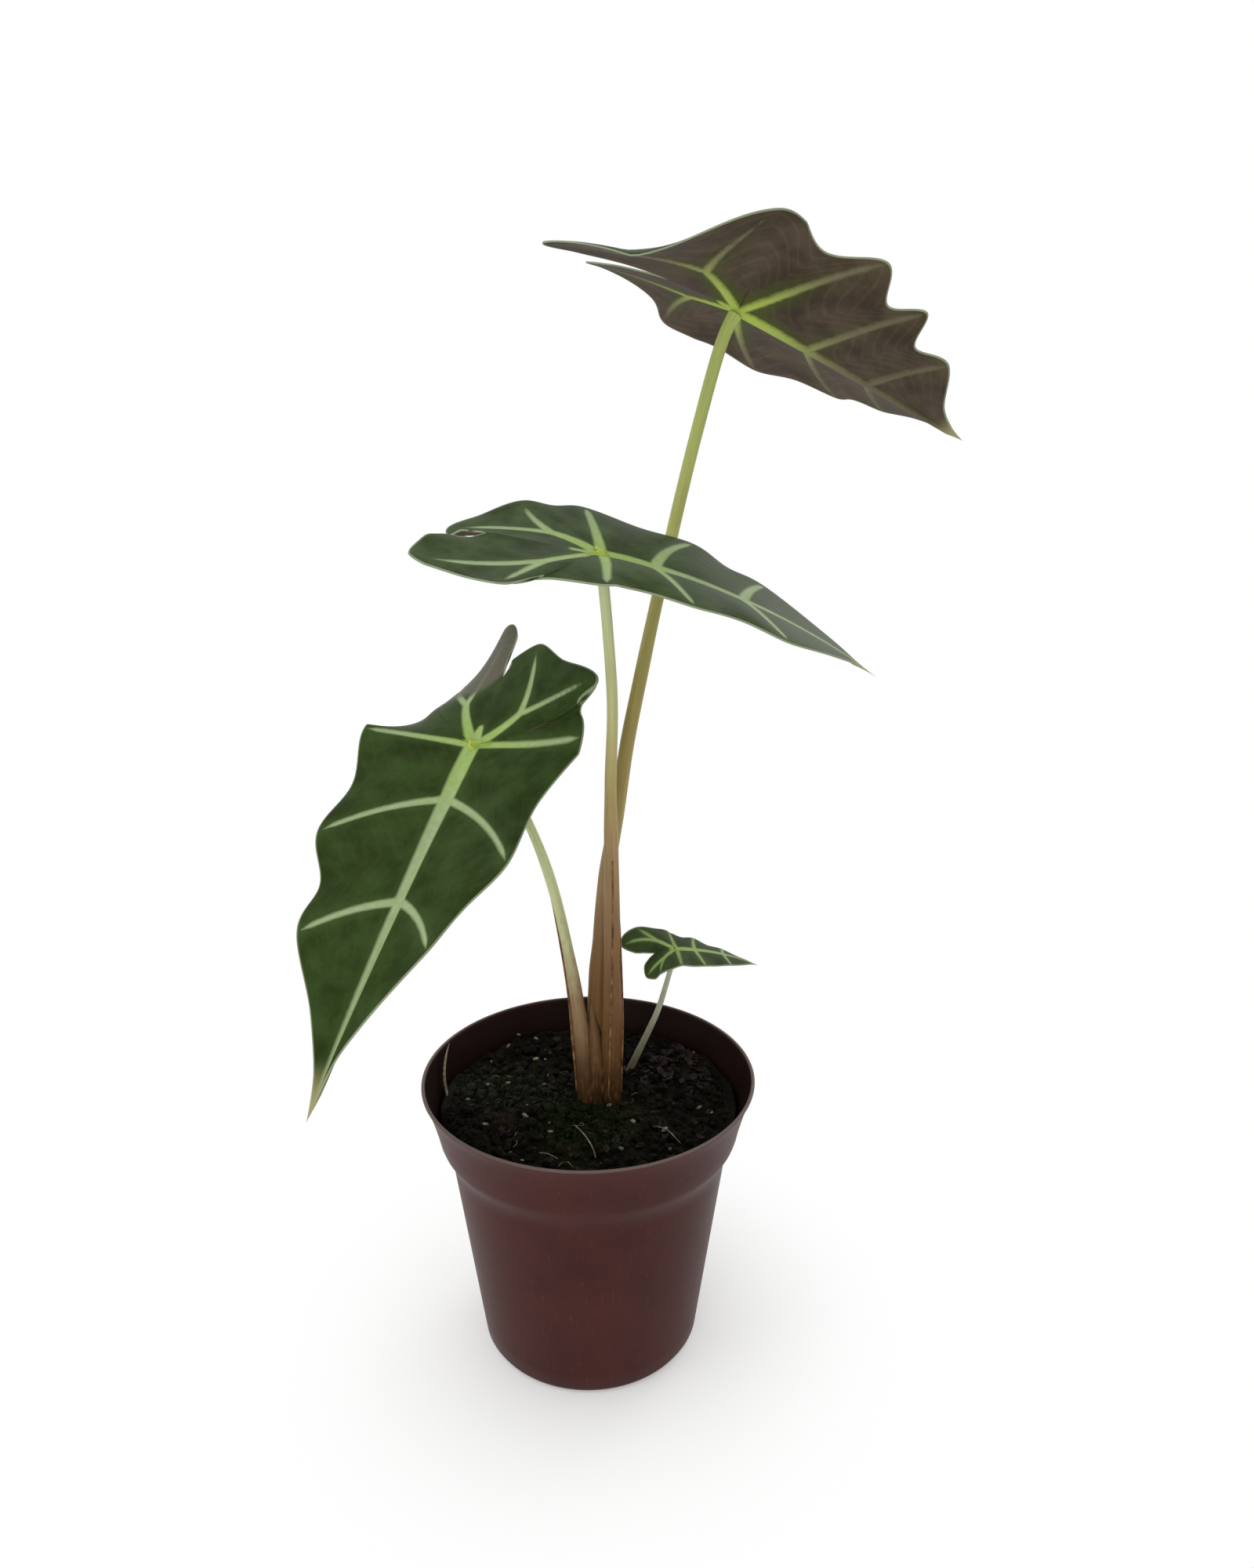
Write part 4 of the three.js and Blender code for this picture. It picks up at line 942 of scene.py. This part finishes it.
def grow_blade(name, leaf):
    """The blade: a grid laid along the pattern's rows, bent to its place, then given its thickness."""
    # rows are closer together beside each vein
    steps = []
    for k in range(LAST_ROW):
        shares = np.linspace(0, 1, ROW_STEPS, endpoint=False)
        if k in VEIN_ROWS:
            shares = shares ** 1.5
        elif k + 1 in VEIN_ROWS:
            shares = 1 - np.linspace(1, 0, ROW_STEPS, endpoint=False) ** 1.5
        steps += list(k + shares)
    steps = np.array([*steps, LAST_ROW])
    reach = (np.arange(HALF_COLUMNS + 1) / HALF_COLUMNS) ** 1.45
    columns = np.concatenate([-reach[:0:-1], reach])
    bm = bmesh.new()
    bmesh.ops.create_grid(bm, x_segments=len(columns) - 1, y_segments=len(steps) - 1, size=1.0)
    bm.verts.ensure_lookup_table()
    at = np.array([v.co[:2] for v in bm.verts])
    i = np.rint((at[:, 0] + 1) / 2 * (len(columns) - 1)).astype(int)
    j = np.rint((at[:, 1] + 1) / 2 * (len(steps) - 1)).astype(int)
    w, t = np.abs(columns[i]), steps[j]
    side = np.where(columns[i] >= 0, 1, -1)
    big = leaf["length"] / FULL_LENGTH
    vein_size = 0.35 + 0.65 * big
    places = np.zeros((len(at), 3))
    values = {k: np.zeros(len(at)) for k in (
        "vein", "fine", "stalk", "tip", "margin", "ridge", "slim", "rolled", "bloom", "fade", "curled")}
    for s, key in ((1, "right"), (-1, "left")):
        rows = pattern_rows(leaf, leaf[key])
        mine = side == s
        tm, wm = t[mine], w[mine]
        x, y = flat_place(rows, tm, wm)
        places[mine], up = leaf_place(leaf, s, x, y, tm, wm)
        veins, (spine, spine_width) = leaf_veins(leaf, rows)
        rib = from_vein(x, y, spine, spine_width)
        side_veins = np.min([from_vein(x, y, *v) for v in veins], axis=0)
        edge = np.stack(flat_place(rows, np.linspace(0, LAST_ROW, MARGIN_POINTS), np.ones(MARGIN_POINTS)), 1)
        to_tip = y / leaf["length"]
        values["vein"][mine] = np.minimum(rib, side_veins)
        values["margin"][mine] = from_vein(x, y, edge, np.zeros(MARGIN_POINTS))
        values["stalk"][mine] = np.hypot(x, y)
        values["tip"][mine] = to_tip
        # narrow parts are thinner, so the two faces stay apart at the tips
        outer, inner = (np.stack(flat_place(rows, tm, np.full(len(tm), share))) for share in (1.0, 0.0))
        values["slim"][mine] = np.clip(np.hypot(*(outer - inner)) / (6 * (0.3 + 0.7 * big)), 0.12, 1)
        # painted sheen: a greyish wash on the middle and small leaves, which are seen at a low angle
        values["bloom"][mine] = {"middle": 1.0, "small": 0.7}.get(name, 0.0)
        # the left leaf's lobe is bent up, and its outer strip beyond its vein is painted in the underside's
        # colour, as a rolled-over lobe would show
        if name == "left" and s > 0:
            over = 0.52 + 0.09 * np.maximum(tm - 4, 0)
            values["rolled"][mine] = rising(wm, over, 0.07) * rising(tm, 1.5, 0.5) * falling(tm, 6.3, 0.4)
        # the middle leaf's curled front margin stays green on both faces
        if name == "middle" and s > 0:
            values["curled"][mine] = rising(wm, 0.5, 0.1) * rising(tm, 4.6, 0.3) * falling(tm, 7.2, 0.3)
        # side veins leave the main ones forwards and meet half way between them
        between = np.abs(np.abs((tm - 3) / 2 % 1 - 0.5) * 2)
        apart = 9 * (0.4 + 0.6 * big)
        wander = np.array([noise.noise(Vector((a * 0.09, b * 0.09, 5.0 * s))) for a, b in zip(x, y)])
        values["fine"][mine] = wm * apart - between * 0.22 * apart + 0.35 * wander
        values["fade"][mine] = rising(tm, 2.5, 1.5) * falling(tm, 13, 2) * np.clip(wm * 8, 0, 1)
        # raised below: the midrib most, then the side veins; in the flat the pads stand a little proud
        ridge = np.zeros(len(tm))
        for away, height, width in (
                (rib, np.interp(to_tip, [-0.2, -0.05, 0, 1], [0.1, 0.9, 1.7, 0.4]),
                 np.interp(to_tip, [0, 1], [2.2, 0.5]) * vein_size),
                (side_veins, np.interp(wm, [0, 1], [0.9, 0.25]), vein_size)):
            ridge = np.maximum(ridge, height * np.clip(1 - (away + width) / (width * 1.25), 0, 1) ** 0.7)
        values["ridge"][mine] = ridge * min(1, vein_size) * np.clip(values["slim"][mine] * 1.2 - 0.2, 0, 1)
        # blade puckers up between the side veins
        pucker = ((1 - between ** 2) * np.sin(np.pi * np.clip(wm, 0, 1)) * 0.9 * big
                  * falling(tm, 12, 3) * rising(tm, 3, 2))
        places[mine] += pucker[:, None] * up
    for k in (*values, "under"):
        bm.verts.layers.float.new(k)
    layers = {k: bm.verts.layers.float[k] for k in (*values, "under")}
    for n, vert in enumerate(bm.verts):
        vert.co = places[n] * MM
        for k, data in values.items():
            vert[layers[k]] = data[n]
    bmesh.ops.remove_doubles(bm, verts=bm.verts, dist=2e-6)
    bmesh.ops.recalc_face_normals(bm, faces=bm.faces)
    bm.normal_update()
    if sum(f.normal.dot(Vector(up)) * f.calc_area() for f in bm.faces) < 0:
        bmesh.ops.reverse_faces(bm, faces=bm.faces)
        bm.normal_update()
    facing = {v: v.normal.copy() for v in bm.verts}
    # a sharp fold is thinner, so that the two faces don't cross there
    near = {v: [e.other_vert(v) for e in v.link_edges] for v in facing}
    room = {}
    for v, ring in near.items():
        turns = [(v.co - n.co).length / max(1e-3, facing[v].angle(facing[n], 0.0)) for n in ring]
        room[v] = min([MM] + turns)
    for _ in range(2):
        room = {v: sum(min(room[v], room[n]) for n in near[v]) / len(near[v]) for v in facing}
    for v in facing:
        v[layers["slim"]] = min(v[layers["slim"]], max(0.15, 1.6 * room[v] / MM / THICKNESS))
    made = bmesh.ops.extrude_face_region(bm, geom=list(bm.faces), use_keep_orig=True)["geom"]
    facing_at = {tuple(round(c, 9) for c in v.co): n for v, n in facing.items()}

    def thickness(vert):
        """Full in the middle of a big leaf, less at the margin, on the tips and on a small leaf."""
        edge = 1 - 0.45 * max(0, 1 - vert[layers["margin"]] / 3)
        return THICKNESS * edge * vert[layers["slim"]] * (0.5 + 0.5 * min(1, leaf["length"] / 80))

    # the new vertices become the upper face, a little sunk along the veins
    for v in (g for g in made if isinstance(g, bmesh.types.BMVert)):
        dip = 0.22 * max(0.0, min(1.0, 0.5 - v[layers["vein"]])) * big * v[layers["slim"]]
        v.co += facing_at[tuple(round(c, 9) for c in v.co)] * (thickness(v) / 2 - dip) * MM
        v[layers["under"]] = 0.0
    for v, n in facing.items():
        v.co -= n * (thickness(v) / 2 + v[layers["ridge"]]) * MM
        v[layers["under"]] = 1.0 - v[layers["curled"]]
    bmesh.ops.recalc_face_normals(bm, faces=bm.faces)
    return new_piece("blade_" + name + "_leaf", bm, leaf_skin)


for name, leaf in LEAVES.items():
    blade = grow_blade(name, leaf)
    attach(blade, "root")
    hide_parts("blade_" + name)
